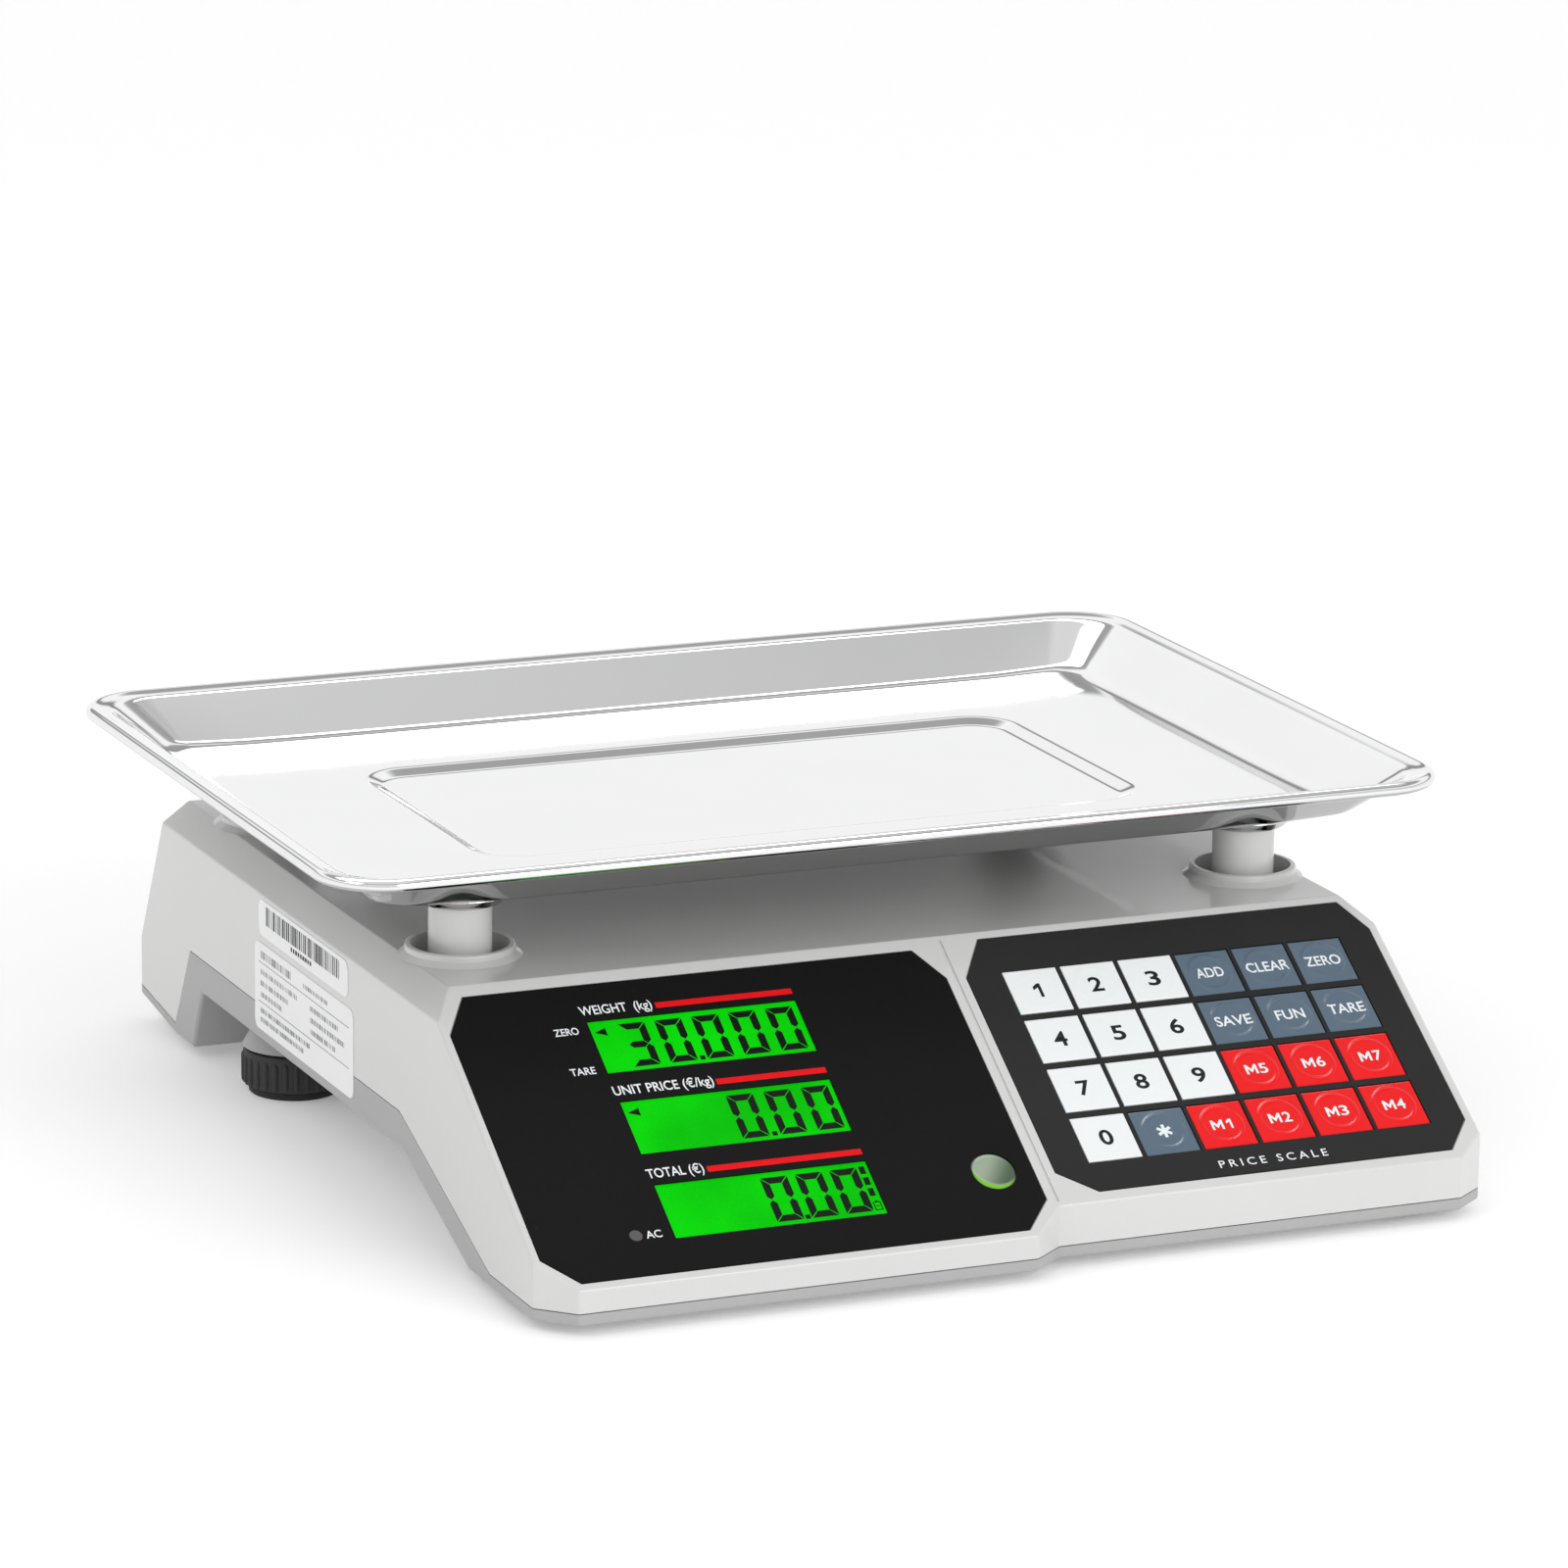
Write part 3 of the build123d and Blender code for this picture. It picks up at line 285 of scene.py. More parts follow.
# ---- Finishes --------------------------------------------------------------------------------
@dataclass(frozen=True)
class MouldedPlastic:
    """Injection-moulded plastic: a fine grain, a slow ripple and a little uneven gloss."""

    name: str
    colour: Colour
    roughness: float = 0.34
    grain: float = 0.0005
    grain_depth: float = 0.000012
    ripple: float = 0.022
    ripple_depth: float = 0.00005
    tone: float = 0.03
    coat: float = 0.0
    gloss: float = 0.5

    def make(self) -> bpy.types.Material:
        """Builds the material."""
        p = Painter(self.name)
        where = p.place()
        slow = p.noise(where, 0.06, 3.0)
        fine = p.noise(where, self.grain, 2.0, 0.6)
        dust = p.noise(where, 0.0016, 2.0).smooth_step(0.62, 0.8)
        light = tuple(min(1.0, c * (1.0 + self.tone)) for c in self.colour)
        dark = tuple(c * (1.0 - self.tone) for c in self.colour)
        base = p.mix(slow, dark, light)
        colour = p.mix(dust * 0.05, base, tuple(c * 0.8 for c in self.colour))
        rippled = p.bump(p.noise(where, self.ripple, 1.0), self.ripple_depth)
        normal = p.bump(fine, self.grain_depth, rippled)
        rough = self.roughness + (slow - 0.5) * 0.08 + (fine - 0.5) * 0.06
        return p.wear(Base_Color=colour, Roughness=rough, Normal=normal, Coat_Weight=self.coat,
                      Coat_Roughness=0.07, IOR=1.5, Specular_IOR_Level=self.gloss)


@dataclass(frozen=True)
class SoftRubber:
    """Matt moulded rubber with fine pores and pale scuffs."""

    name: str
    colour: Colour
    roughness: float = 0.75

    def make(self) -> bpy.types.Material:
        """Builds the material."""
        p = Painter(self.name)
        where = p.place()
        pores = p.noise(where, 0.0006, 3.0, 0.7)
        scuff = p.noise(where, 0.004, 4.0).smooth_step(0.55, 0.75)
        colour = p.mix(scuff * 0.35, self.colour, tuple(min(1.0, c * 2.2 + 0.02) for c in self.colour))
        rough = self.roughness + (pores - 0.5) * 0.2
        return p.wear(Base_Color=colour, Roughness=rough, Normal=p.bump(pores, 0.00005))


@dataclass(frozen=True)
class PolishedSheet:
    """Mirror-polished stainless sheet: faint drawing waves, very fine polishing lines and painted shade on
    faces that look downward.
    """

    name: str = "polished_stainless"
    colour: Colour = (0.83, 0.83, 0.835)
    roughness: float = 0.045
    wave: float = 0.045
    wave_depth: float = 0.00003
    line_depth: float = 0.0000008
    # Colour painted on downward faces as shade; the sheet is the same steel there.
    painted_underside_shade: Colour = (0.5, 0.5, 0.502)

    def make(self) -> bpy.types.Material:
        """Builds the material."""
        p = Painter(self.name)
        where = p.place()
        waves = p.noise(where, self.wave, 1.0)
        lines = p.noise(p.place(scale=(0.02, 1.0, 0.3)), 0.0004, 2.0, 0.6)
        smear = p.noise(where, 0.03, 3.0)
        colour = p.mix(smear, tuple(c * 0.965 for c in self.colour), self.colour)
        # Painted shade: faces that look downward are mixed towards the darker underside colour.
        _, _, upward = p.axes(p.add("ShaderNodeNewGeometry", output="Normal"))
        colour = p.mix(upward.smooth_step(-0.5, -0.2), self.painted_underside_shade, colour)
        normal = p.bump(lines, self.line_depth, p.bump(waves, self.wave_depth))
        rough = self.roughness + (smear - 0.5) * 0.03 + (lines - 0.5) * 0.02
        return p.wear(Base_Color=colour, Metallic=1.0, Roughness=rough, Normal=normal)


@dataclass(frozen=True)
class WorkedMetal:
    """Plated, milled or cast metal with a directional lay and small stains."""

    name: str
    colour: Colour
    roughness: float = 0.32
    lay: tuple[float, float, float] = (0.06, 1.0, 1.0)

    def make(self) -> bpy.types.Material:
        """Builds the material."""
        p = Painter(self.name)
        where = p.place()
        strokes = p.noise(p.place(scale=self.lay), 0.0005, 3.0, 0.6)
        stain = p.noise(where, 0.012, 4.0)
        colour = p.mix(stain, tuple(c * 0.82 for c in self.colour), self.colour)
        rough = self.roughness + (strokes - 0.5) * 0.16 + (stain - 0.5) * 0.1
        return p.wear(Base_Color=colour, Metallic=1.0, Roughness=rough,
                      Normal=p.bump(strokes, 0.00001))


@dataclass(frozen=True)
class PrintedFilm:
    """Polycarbonate or polyester film, printed on its back, with a fine velvet texture."""

    name: str
    colour: Colour
    roughness: float = 0.42
    speck: float = 0.12
    gloss: float = 0.12
    coat: float = 0.0

    def make(self) -> bpy.types.Material:
        """Builds the material."""
        p = Painter(self.name)
        where = p.place()
        velvet = p.noise(where, 0.00045, 2.0, 0.65)
        cloud = p.noise(where, 0.035, 3.0)
        lint = p.noise(where, 0.0009, 1.0).smooth_step(0.74, 0.82)
        low = tuple(c * (1.0 - self.speck) for c in self.colour)
        high = tuple(min(1.0, c * (1.0 + self.speck)) for c in self.colour)
        colour = p.mix(lint * 0.12, p.mix(cloud, low, high), tuple(min(1.0, c + 0.1) for c in self.colour))
        rough = self.roughness + (velvet - 0.5) * 0.14 + (cloud - 0.5) * 0.08
        return p.wear(Base_Color=colour, Roughness=rough, Normal=p.bump(velvet, 0.000008), IOR=1.5,
                      Specular_IOR_Level=self.gloss, Coat_Weight=self.coat, Coat_Roughness=0.1)


@dataclass(frozen=True)
class Ink:
    """Screen-printed ink, a little uneven at its edges and in its density."""

    name: str
    colour: Colour
    roughness: float = 0.5

    def make(self) -> bpy.types.Material:
        """Builds the material."""
        p = Painter(self.name)
        where = p.place()
        density = p.noise(where, 0.0012, 3.0)
        colour = p.mix(density, tuple(c * 0.9 for c in self.colour), self.colour)
        mesh = p.noise(where, 0.00018, 1.0)
        rough = self.roughness + (density - 0.5) * 0.2
        return p.wear(Base_Color=colour, Roughness=rough, Normal=p.bump(mesh, 0.000004),
                      Specular_IOR_Level=0.12)


@dataclass(frozen=True)
class Backlight:
    """Green backlit liquid crystal: brighter towards the lamp, with the diffuser's faint grain."""

    name: str = "green_backlight"
    colour: Colour = (0.0, 0.66, 0.0)
    dim: float = 0.74
    unlit: float = 0.2
    glow: float = 0.88

    def make(self) -> bpy.types.Material:
        """Builds the material."""
        p = Painter(self.name)
        where = p.place()
        cloud = p.noise(where, 0.03, 2.0)
        grain = p.noise(where, 0.0007, 1.0)
        share = (cloud * 0.85 + grain * 0.15).smooth_step(0.3, 0.7)
        colour = p.mix(share, tuple(c * self.dim for c in self.colour), self.colour)
        glass = p.mix(share, (0.0, 0.08, 0.0), tuple(c * self.unlit for c in self.colour))
        return p.wear(Base_Color=glass, Emission_Color=colour, Emission_Strength=self.glow,
                      Roughness=0.3 + (grain - 0.5) * 0.1, Specular_IOR_Level=0.06)


@dataclass(frozen=True)
class LabelPaper:
    """Coated sticker stock with a soft fibre."""

    name: str = "sticker_stock"
    colour: Colour = (0.88, 0.88, 0.88)

    def make(self) -> bpy.types.Material:
        """Builds the material."""
        p = Painter(self.name)
        where = p.place()
        fibre = p.noise(where, 0.0008, 4.0, 0.6)
        tint = p.noise(where, 0.02, 2.0)
        colour = p.mix(fibre * 0.3 + tint * 0.3, tuple(c * 0.93 for c in self.colour), self.colour)
        rough = 0.45 + (fibre - 0.5) * 0.12
        return p.wear(Base_Color=colour, Roughness=rough, Normal=p.bump(fibre, 0.00001))


@dataclass(frozen=True)
class SolderMask:
    """Green lacquer over copper tracks."""

    name: str = "solder_mask"
    colour: Colour = (0.012, 0.15, 0.04)
    track: Colour = (0.03, 0.26, 0.08)

    def make(self) -> bpy.types.Material:
        """Builds the material."""
        p = Painter(self.name)
        x, y, _ = p.axes(p.place())
        lanes = (x * (math.tau / 0.0024)).maths("SINE").smooth_step(0.2, 0.4)
        rungs = (y * (math.tau / 0.0061)).maths("SINE").smooth_step(0.5, 0.6)
        blocks = p.noise(p.place(), 0.012, 0.0).smooth_step(0.48, 0.52)
        tracks = (lanes * blocks).maths("MAXIMUM", rungs * (1.0 - blocks))
        colour = p.mix(tracks, self.colour, self.track)
        return p.wear(Base_Color=colour, Roughness=0.28 + tracks * 0.1, Normal=p.bump(tracks, 0.00003))


@dataclass(frozen=True)
class LevelWindow:
    """The round level's window: pale grey-green glass with bright fluid lying at its lower edge, a painted
    highlight at its upper left and painted shade towards its lower right.
    """

    centre: Vector
    tilt: float
    radius: float
    name: str = "level_window"
    # glass is the colour where the painted highlight falls, shade the colour of the painted shade.
    glass: Colour = (0.30, 0.37, 0.28)
    shade: Colour = (0.07, 0.11, 0.07)
    fluid: Colour = (0.12, 0.42, 0.02)

    def make(self) -> bpy.types.Material:
        """Builds the material."""
        p = Painter(self.name)
        x, y, _ = p.axes(p.place(rotation=(-self.tilt, 0.0, 0.0), centre=tuple(self.centre)))
        r = self.radius
        aside = x - 0.14 * r
        above = (aside * aside + (y - 0.26 * r) * (y - 0.26 * r)).maths("SQRT")
        pool = above.smooth_step(1.03 * r, 1.07 * r)
        meniscus = above.smooth_step(0.95 * r, 1.01 * r) * (1.0 - pool)
        # Painted light: the glass is lit towards its upper left and shaded towards its lower right.
        painted_light_sweep = ((x * 0.8 - y * 0.6) / r).smooth_step(-0.55, 0.75)
        edge = (x * x + y * y).maths("SQRT").smooth_step(0.86 * r, 1.0 * r)
        streak = p.noise(p.place(), 0.004, 2.0)
        body = p.mix(painted_light_sweep, self.glass, self.shade)
        body = p.mix(meniscus * 0.45, body, (0.42, 0.55, 0.3))
        body = p.mix(pool, body, p.mix(streak, self.fluid, (0.24, 0.6, 0.05)))
        colour = p.mix(edge * 0.35, body, (0.05, 0.09, 0.04))
        return p.wear(Base_Color=colour, Roughness=0.12 + streak * 0.05, Specular_IOR_Level=0.3)


@dataclass(frozen=True)
class LaminatedIron:
    """Edges of stacked transformer laminations."""

    name: str = "laminated_iron"
    colour: Colour = (0.2, 0.2, 0.21)

    def make(self) -> bpy.types.Material:
        """Builds the material."""
        p = Painter(self.name)
        _, y, _ = p.axes(p.place())
        leaf = (y * (math.tau / 0.0008)).maths("SINE") * 0.5 + 0.5
        rust = p.noise(p.place(), 0.006, 4.0).smooth_step(0.55, 0.75)
        colour = p.mix(rust * 0.5, p.mix(leaf, tuple(c * 0.6 for c in self.colour), self.colour),
                       (0.16, 0.09, 0.05))
        return p.wear(Base_Color=colour, Metallic=0.8, Roughness=0.45 + rust * 0.2,
                      Normal=p.bump(leaf, 0.00006))


@dataclass(frozen=True)
class StudioPaper:
    """Seamless pale backdrop paper."""

    name: str = "studio_paper"
    colour: Colour = (0.9, 0.9, 0.9)
    lift: float = 0.2

    def make(self) -> bpy.types.Material:
        """Builds the material."""
        p = Painter(self.name)
        fibre = p.noise(p.place(), 0.004, 3.0)
        colour = p.mix(fibre, tuple(c * 0.99 for c in self.colour), self.colour)
        return p.wear(Base_Color=colour, Roughness=0.9, Emission_Color=(1.0, 1.0, 1.0),
                      Emission_Strength=self.lift)


class Finish(Enum):
    """Every finish of the scale that has no place of its own."""

    UPPER = MouldedPlastic("upper_housing_plastic", (0.6, 0.6, 0.595), 0.3, coat=0.45)
    LOWER = MouldedPlastic("lower_housing_plastic", (0.375, 0.375, 0.375), 0.42)
    # The posts are the housing's light grey plastic; their colour is darkened to paint the shade under the
    # tray.
    POST_PAINTED_SHADE = MouldedPlastic("post_plastic", (0.19, 0.19, 0.188), 0.22, coat=0.55)
    KNOB = MouldedPlastic("knob_plastic", (0.015, 0.015, 0.015), 0.36, gloss=0.35)
    BLACK = MouldedPlastic("black_plastic", (0.018, 0.018, 0.018), 0.3)
    BATTERY = MouldedPlastic("battery_case", (0.03, 0.03, 0.034), 0.5)
    CUSHION = SoftRubber("cushion_rubber", (0.5, 0.5, 0.5))
    SOLE = SoftRubber("sole_rubber", (0.018, 0.018, 0.018))
    PAN = PolishedSheet()
    ZINC = WorkedMetal("zinc_plated_steel", (0.62, 0.62, 0.6), 0.36)
    CAST = WorkedMetal("cast_aluminium", (0.68, 0.68, 0.69), 0.42, (1.0, 1.0, 1.0))
    SCREW = WorkedMetal("plated_screw", (0.6, 0.6, 0.59), 0.28, (1.0, 1.0, 0.2))
    DISPLAY = PrintedFilm("display_film", (0.0075, 0.0075, 0.0075), 0.5, gloss=0.05)
    OVERLAY = PrintedFilm("keypad_film", (0.025, 0.025, 0.025), 0.5, gloss=0.06)
    KEY_WHITE = PrintedFilm("white_key_film", (0.78, 0.81, 0.82), 0.38, 0.02, gloss=0.3)
    KEY_SLATE = PrintedFilm("slate_key_film", (0.085, 0.13, 0.18), 0.24, 0.08, gloss=0.3, coat=0.42)
    KEY_RED = PrintedFilm("red_key_film", (0.78, 0.004, 0.006), 0.24, 0.06, gloss=0.15, coat=0.32)
    WHITE_INK = Ink("white_ink", (0.8, 0.84, 0.86))
    RED_INK = Ink("red_ink", (0.76, 0.004, 0.008))
    BLACK_INK = Ink("black_ink", (0.014, 0.016, 0.02))
    GREY_INK = Ink("grey_ink", (0.2, 0.2, 0.21))
    SEGMENT = Ink("dark_crystal", (0.001, 0.006, 0.001), 0.45)
    BACKLIGHT = Backlight()
    PAPER = LabelPaper()
    BOARD = SolderMask()
    CORE = LaminatedIron()
    DIODE = MouldedPlastic("diode_lens", (0.07, 0.07, 0.07), 0.2, coat=0.5)

    @property
    def material(self) -> bpy.types.Material:
        """The material, made on first use."""
        return bpy.data.materials.get(self.value.name) or self.value.make()


# ---- Mesh helpers ----------------------------------------------------------------------------
def new_object(name: str, mesh: bpy.types.Mesh, finish: bpy.types.Material) -> bpy.types.Object:
    """A named object with one material, linked to the scene.

    Args:
        name: Its name.
        mesh: Its mesh, in place.
        finish: Its material.

    Returns:
        The object.
    """
    mesh.name = name
    mesh.materials.clear()
    mesh.materials.append(finish)
    obj = bpy.data.objects.new(name, mesh)
    bpy.context.scene.collection.objects.link(obj)
    return obj


def mesh_from(vertices: Iterable[Sequence[float]], faces: Iterable[Sequence[int]],
              smooth: bool = True) -> bpy.types.Mesh:
    """A mesh from points and faces, with its faces turned outwards.

    Args:
        vertices: Points in metres.
        faces: Point numbers of each face.
        smooth: True to shade across edges.

    Returns:
        The mesh.
    """
    mesh = bpy.data.meshes.new("mesh")
    mesh.from_pydata([tuple(v) for v in vertices], [], [tuple(f) for f in faces])
    tidy_mesh(mesh)
    mesh.shade_smooth() if smooth else mesh.shade_flat()
    return mesh


def tidy_mesh(mesh: bpy.types.Mesh) -> None:
    """Merges doubled points and turns every face outwards.

    Args:
        mesh: The mesh, changed in place.
    """
    work = bmesh.new()
    work.from_mesh(mesh)
    bmesh.ops.remove_doubles(work, verts=work.verts, dist=1e-7)
    bmesh.ops.recalc_face_normals(work, faces=work.faces)
    work.to_mesh(mesh)
    work.free()


def join_meshes(meshes: Iterable[bpy.types.Mesh]) -> bpy.types.Mesh:
    """Several meshes as one, with their shading kept.

    Args:
        meshes: The meshes, in place.

    Returns:
        The joined mesh.
    """
    work = bmesh.new()
    for mesh in meshes:
        work.from_mesh(mesh)
    joined = bpy.data.meshes.new("joined")
    work.to_mesh(joined)
    work.free()
    return joined


def plate(outline: Sequence[Point2], low: float, high: float) -> bpy.types.Mesh:
    """A flat plate with the given outline, between two heights, all in metres."""
    count = len(outline)
    points = [(x, y, low) for x, y in outline] + [(x, y, high) for x, y in outline]
    sides = [(i, (i + 1) % count, count + (i + 1) % count, count + i) for i in range(count)]
    faces = [tuple(range(count)), tuple(range(count, 2 * count)), *sides]
    return mesh_from(points, faces, smooth=False)


def turned(profile: Sequence[Point2], centre: Vector, samples: int = 64,
           hollow: bool = False) -> bpy.types.Mesh:
    """A closed solid turned about an upright axis.

    Args:
        profile: Radius and height of each point, from the lower pole to the upper one.
        centre: Where the axis meets height zero.
        samples: Number of steps round the axis.
        hollow: True for a ring, whose last row joins its first.

    Returns:
        The mesh.
    """
    points: list[tuple[float, float, float]] = []
    faces: list[tuple[int, ...]] = []
    for radius, height in profile:
        for i in range(samples):
            angle = math.tau * i / samples
            points.append((centre.x + radius * math.cos(angle), centre.y + radius * math.sin(angle),
                           centre.z + height))
    rows = len(profile)
    for row in range(rows if hollow else rows - 1):
        for i in range(samples):
            j = (i + 1) % samples
            a, b = row * samples, (row + 1) % rows * samples
            faces.append((a + i, a + j, b + j, b + i))
    if not hollow:
        faces.append(tuple(range(samples)))
        faces.append(tuple(range((rows - 1) * samples, rows * samples)))
    return mesh_from(points, faces)


def sharpen(mesh: bpy.types.Mesh, degrees: float = 38.0) -> bpy.types.Mesh:
    """Keeps edges sharper than the angle sharp, and shades the rest smooth."""
    mesh.shade_smooth()
    mesh.set_sharp_from_angle(angle=math.radians(degrees))
    return mesh


def dress(node: str, finish: bpy.types.Material) -> None:
    """Gives a CAD node its finish.

    Args:
        node: The node's name.
        finish: Its material.
    """
    obj = bpy.data.objects[node]
    if not obj.material_slots:
        obj.data.materials.append(finish)
    for material_slot in obj.material_slots:
        material_slot.material = finish
    log.info("dressed %s with %s", node, finish.name)


def settle(obj: bpy.types.Object, body: str, slot: str, *nodes: str) -> bpy.types.Object:
    """Fixes a piece to its CAD body.

    Args:
        obj: The finished piece, in place.
        body: The CAD body it rides on.
        slot: Name of a material slot; not used.
        nodes: CAD nodes it stands for.

    Returns:
        The piece.
    """
    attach(obj, body)
    if nodes:
        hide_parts(*nodes)
    for node in nodes:
        dress(node, obj.data.materials[0])
    log.info("built %s on %s, %d faces", obj.name, body, len(obj.data.polygons))
    return obj


# ---- Geometry Nodes --------------------------------------------------------------------------
class Recipe(NodeDesk):
    """A Geometry Nodes tree with named inputs, run to give plain meshes."""

    def __init__(self, name: str) -> None:
        """Makes an empty tree that takes and gives a geometry."""
        super().__init__(bpy.data.node_groups.new(name, "GeometryNodeTree"))
        self.tree.interface.new_socket("Geometry", in_out="INPUT", socket_type="NodeSocketGeometry")
        self.tree.interface.new_socket("Geometry", in_out="OUTPUT", socket_type="NodeSocketGeometry")
        self.entry = self.tree.nodes.new("NodeGroupInput")
        self.exit = self.tree.nodes.new("NodeGroupOutput")

    def given(self, name: str, kind: str = "Float", default: Any = None) -> Wire:
        """Adds a named input and returns it as a wire."""
        socket = self.tree.interface.new_socket(name, in_out="INPUT", socket_type=f"NodeSocket{kind}")
        if default is not None:
            socket.default_value = default
        return Wire(self, self.entry.outputs[name])

    def base(self) -> Wire:
        """The geometry that the tree is run on."""
        return Wire(self, self.entry.outputs[0])

    def deliver(self, geometry: Wire) -> "Recipe":
        """Realizes the instances, sets the material and ends the tree."""
        finish = self.given("Finish", "Material")
        real = self.add("GeometryNodeRealizeInstances", {}, {0: geometry})
        painted = self.add("GeometryNodeSetMaterial", {}, {"Geometry": real, "Material": finish})
        self.tree.links.new(painted.socket, self.exit.inputs[0])
        return self

    def run(self, start: bpy.types.Mesh | None = None, **values: Any) -> bpy.types.Mesh:
        """Runs the tree once.

        Args:
            start: Mesh that the tree is run on, or None for an empty one.
            values: The inputs by name, with _ for a space.

        Returns:
            The result as a plain mesh.
        """
        carrier = bpy.data.objects.new("carrier", start or bpy.data.meshes.new("start"))
        bpy.context.scene.collection.objects.link(carrier)
        modifier = carrier.modifiers.new("recipe", "NODES")
        modifier.node_group = self.tree
        for item in self.tree.interface.items_tree:
            key = item.name.replace(" ", "_")
            if item.item_type == "SOCKET" and item.in_out == "INPUT" and key in values:
                modifier[item.identifier] = values[key]
        bpy.context.view_layer.update()
        graph = bpy.context.evaluated_depsgraph_get()
        mesh = bpy.data.meshes.new_from_object(carrier.evaluated_get(graph), depsgraph=graph)
        carrier.modifiers.clear()
        bpy.data.objects.remove(carrier)
        return mesh

    def vector(self, x: Value = 0.0, y: Value = 0.0, z: Value = 0.0) -> Wire:
        """A vector from three values."""
        return self.add("ShaderNodeCombineXYZ", {}, {0: x, 1: y, 2: z})

    def moved(self, geometry: Wire, offset: Wire) -> Wire:
        """The geometry with its points moved."""
        return self.add("GeometryNodeSetPosition", {}, {"Geometry": geometry, "Offset": offset})

    def shifted(self, geometry: Wire, translation: Wire) -> Wire:
        """The geometry moved as a whole."""
        values = {"Geometry": geometry, "Translation": translation}
        return self.add("GeometryNodeTransform", {}, values)

    def joined(self, *parts: Wire) -> Wire:
        """Several geometries as one."""
        node = self.tree.nodes.new("GeometryNodeJoinGeometry")
        for part in reversed(parts):
            self.tree.links.new(part.socket, node.inputs[0])
        return Wire(self, node.outputs[0])


def rib_ring() -> Recipe:
    """Upright half-round ribs round a wheel, each with a tapered top and foot."""
    r = Recipe("rib_ring")
    count = r.given("Count", "Int", 30)
    ring = r.given("Ring Radius")
    rib = r.given("Rib Radius")
    height = r.given("Height")
    low = r.given("Low")
    circle = r.add("GeometryNodeMeshCircle", {}, {"Vertices": count, "Radius": ring})
    taper = 0.12
    shaft = r.add("GeometryNodeMeshCylinder", {}, {"Vertices": 10, "Radius": rib,
                                                    "Depth": height * (1.0 - 2.0 * taper)})
    tips = []
    for sign in (1.0, -1.0):
        sizes = {"Vertices": 10, "Radius Top": rib * (0.35 if sign > 0 else 1.0),
                 "Radius Bottom": rib * (1.0 if sign > 0 else 0.35), "Depth": height * taper}
        cone = r.add("GeometryNodeMeshCone", {}, sizes)
        start = height * (0.5 - taper if sign > 0 else -0.5)
        tips.append(r.shifted(cone, r.vector(z=start)))
    shape = r.joined(shaft, *tips)
    ribs = r.add("GeometryNodeInstanceOnPoints", {}, {"Points": circle, "Instance": shape})
    return r.deliver(r.shifted(ribs, r.vector(z=low + height * 0.5)))


def bar_row() -> Recipe:
    """A row of upright bars of random widths, as in a bar code or a line of small print."""
    r = Recipe("bar_row")
    count = r.given("Count", "Int", 40)
    pitch = r.given("Pitch")
    height = r.given("Height")
    thin = r.given("Thin")
    thick = r.given("Thick")
    sheet = r.given("Sheet")
    seed = r.given("Seed", "Int", 1)
    row = r.add("GeometryNodeMeshLine", {}, {"Count": count, "Offset": r.vector(x=pitch)})
    values = {2: thin, 3: thick, "Seed": seed}
    width = r.add("FunctionNodeRandomValue", {"data_type": "FLOAT"}, values, output=1)
    bar = r.add("GeometryNodeMeshCube", {}, {"Size": (1.0, 1.0, 1.0)})
    bars = r.add("GeometryNodeInstanceOnPoints", {}, {"Points": row, "Instance": bar,
                                                       "Scale": r.vector(width, height, sheet)})
    return r.deliver(bars)


def embossed_cap() -> Recipe:
    """A key cap: a rounded film window with a raised ring, its flange and its stem."""
    r = Recipe("embossed_cap")
    width = r.given("Width")
    height = r.given("Height")
    top = r.given("Top")
    low = r.given("Low")
    ring = r.given("Ring Radius")
    ring_width = r.given("Ring Width")
    ring_height = r.given("Ring Height")
    roll = r.given("Edge Roll")
    flange = r.given("Flange")
    flange_low = r.given("Flange Low")
    stem = r.given("Stem Radius")
    stem_low = r.given("Stem Low")
    body = r.add("GeometryNodeMeshCube", {}, {"Size": r.vector(width, height, top - low),
                                               "Vertices X": 57, "Vertices Y": 57, "Vertices Z": 2})
    raised = r.shifted(body, r.vector(z=(top + low) * 0.5))
    x, y, z = r.axes(r.add("GeometryNodeInputPosition"))
    reach = (x * x + y * y).maths("SQRT")
    offset = (reach - ring) / ring_width
    wall = (-1.0 * offset * offset).maths("EXPONENT")
    dish = 1.0 - reach.maths("DIVIDE", ring).maths("MINIMUM", 1.0) ** 4.0
    border = (width * 0.5 - x.maths("ABSOLUTE")).maths("MINIMUM", height * 0.5 - y.maths("ABSOLUTE"))
    fall = 1.0 - (border / roll).maths("MINIMUM", 1.0)
    lift = ring_height * (wall - 1.0) + ring_height * 0.35 * dish - roll * 0.5 * fall * fall
    is_top = z.maths("GREATER_THAN", (top + low) * 0.5)
    cap = r.moved(raised, r.vector(z=lift * is_top))
    edge = r.vector(width + flange * 2.0, height + flange * 2.0, low - flange_low)
    skirt = r.shifted(r.add("GeometryNodeMeshCube", {}, {"Size": edge}),
                      r.vector(z=(low + flange_low) * 0.5))
    rod = r.add("GeometryNodeMeshCylinder", {}, {"Vertices": 24, "Radius": stem,
                                                  "Depth": flange_low - stem_low})
    foot = r.shifted(rod, r.vector(z=(flange_low + stem_low) * 0.5))
    return r.deliver(r.joined(cap, skirt, foot))


